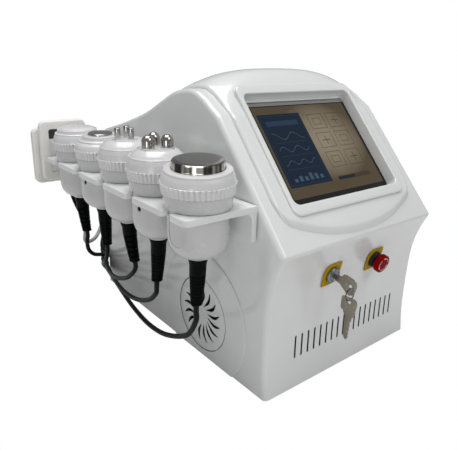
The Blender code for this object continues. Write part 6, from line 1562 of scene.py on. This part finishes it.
class CONSOLE_OT_stage(bpy.types.Operator):
    """Floor, camera, lamps and world"""
    bl_idname = "console.stage"
    bl_label = "Stage"

    def execute(self, context):
        settings = context.scene.console_settings
        deselect()
        bpy.ops.mesh.primitive_plane_add(size=12.0, location=(0.0, 0.0, -0.0002))
        floor = bpy.context.object
        floor.name = "floor"
        floor.data.materials.append(self.floor_paint(settings.floor_colour))
        self.sky(context)
        # Lamps: place, width, power and the height they aim at
        for name, place, size, power, aim in (
                ("key_lamp", (0.5, -2.1, 2.3), 1.5, 19.0, 0.2),
                ("top_lamp", (-0.2, 0.2, 2.4), 1.5, 36.0, 0.2),
                ("left_lamp", (-1.6, -1.2, 0.30), 0.5, 3.0, 0.03)):
            data = bpy.data.lights.new(name, "AREA")
            data.size, data.energy = size, power * settings.lamp_level
            lamp = bpy.data.objects.new(name, data)
            lamp.location = place
            way = Vector((0.0, 0.0, aim)) - Vector(place)
            lamp.rotation_euler = way.to_track_quat("-Z", "Y").to_euler()
            context.scene.collection.objects.link(lamp)
        self.camera(context)
        context.scene.view_settings.view_transform = "Standard"
        return {"FINISHED"}

    def sky(self, context):
        """World: white to the camera and through glass, dim for everything else."""
        context.scene.world = bpy.data.worlds.new("studio")
        g = Graph(context.scene.world)
        camera = g.node("ShaderNodeLightPath", output="Is Camera Ray")
        glass = g.node("ShaderNodeLightPath", output="Is Transmission Ray")
        back = g.tree.nodes["Background"].inputs
        seen = {"Value": camera.most(glass), "To Min": 0.25, "To Max": 1.0}
        g.put(back["Strength"], g.node("ShaderNodeMapRange", None, seen))
        g.put(back["Color"], (1.0, 1.0, 1.0, 1.0))

    def floor_paint(self, colour):
        """Grey for the light it throws back, plain white to the camera."""
        f = Finish("floor_paint", colour, 0.9)
        glow = f.node("ShaderNodeEmission", None, {"Color": (1.0, 1.0, 1.0, 1.0)}, "Emission")
        seen = f.node("ShaderNodeLightPath", output="Is Camera Ray")
        mix = f.node("ShaderNodeMixShader", None, [seen, Field(f, f.shader.outputs["BSDF"]), glow], "Shader")
        f.tree.links.new(mix.socket, f.tree.nodes["Material Output"].inputs["Surface"])
        return f.material

    def camera(self, context):
        """The view fitted to the photograph."""
        yaw, pitch, roll = radians(37.674), radians(17.716), radians(0.888)
        forward = Vector((sin(yaw) * cos(pitch), cos(yaw) * cos(pitch), -sin(pitch)))
        right = Vector((cos(yaw), -sin(yaw), 0.0))
        up = right.cross(forward)
        right, up = right * cos(roll) + up * sin(roll), up * cos(roll) - right * sin(roll)
        data = bpy.data.cameras.new("camera")
        data.sensor_width, data.lens = 36.0, 38.16
        data.shift_x, data.shift_y = 0.0246, -0.0225
        camera = bpy.data.objects.new("camera", data)
        camera.matrix_world = Matrix.Translation(Vector((-0.3941, -0.3971, 0.4472)) + AT) @ Matrix(
            (right, up, -forward)).transposed().to_4x4()
        context.scene.collection.objects.link(camera)
        context.scene.camera = camera


class CONSOLE_PT_panel(bpy.types.Panel):
    """Lists the steps in the order they run"""
    bl_idname = "CONSOLE_PT_panel"
    bl_label = "Console"
    bl_space_type = "VIEW_3D"
    bl_region_type = "UI"
    bl_category = "Console"

    def draw(self, context):
        layout = self.layout
        for name in ("edge_radius", "floor_colour", "lamp_level"):
            layout.prop(context.scene.console_settings, name)
        for name in ("flutes", "flute_depth"):
            layout.prop(context.scene.handpiece_settings, name)
        for step in STEPS:
            layout.operator(step.bl_idname)


STEPS = (CONSOLE_OT_stage, CONSOLE_OT_leads, CONSOLE_OT_housing, CONSOLE_OT_surround, CONSOLE_OT_screen,
         CONSOLE_OT_grille, CONSOLE_OT_controls, CONSOLE_OT_keys, CONSOLE_OT_shelf, CONSOLE_OT_handpieces,
         CONSOLE_OT_paddle, CONSOLE_OT_frame_finishes)
CLASSES = (ConsoleSettings, HandpieceSettings) + STEPS + (CONSOLE_PT_panel,)


def register():
    for item in CLASSES:
        bpy.utils.register_class(item)
    bpy.types.Scene.console_settings = bpy.props.PointerProperty(type=ConsoleSettings)
    bpy.types.Scene.handpiece_settings = bpy.props.PointerProperty(type=HandpieceSettings)


def unregister():
    del bpy.types.Scene.handpiece_settings
    del bpy.types.Scene.console_settings
    for item in reversed(CLASSES):
        bpy.utils.unregister_class(item)


def main():
    register()
    bpy.ops.console.stage()
    bpy.ops.console.leads()
    bpy.ops.console.housing()
    bpy.ops.console.surround()
    bpy.ops.console.screen()
    bpy.ops.console.grille()
    bpy.ops.console.controls()
    bpy.ops.console.keys()
    bpy.ops.console.shelf()
    bpy.ops.console.handpieces()
    bpy.ops.console.paddle()
    bpy.ops.console.frame_finishes()


if __name__ == "__main__":
    main()
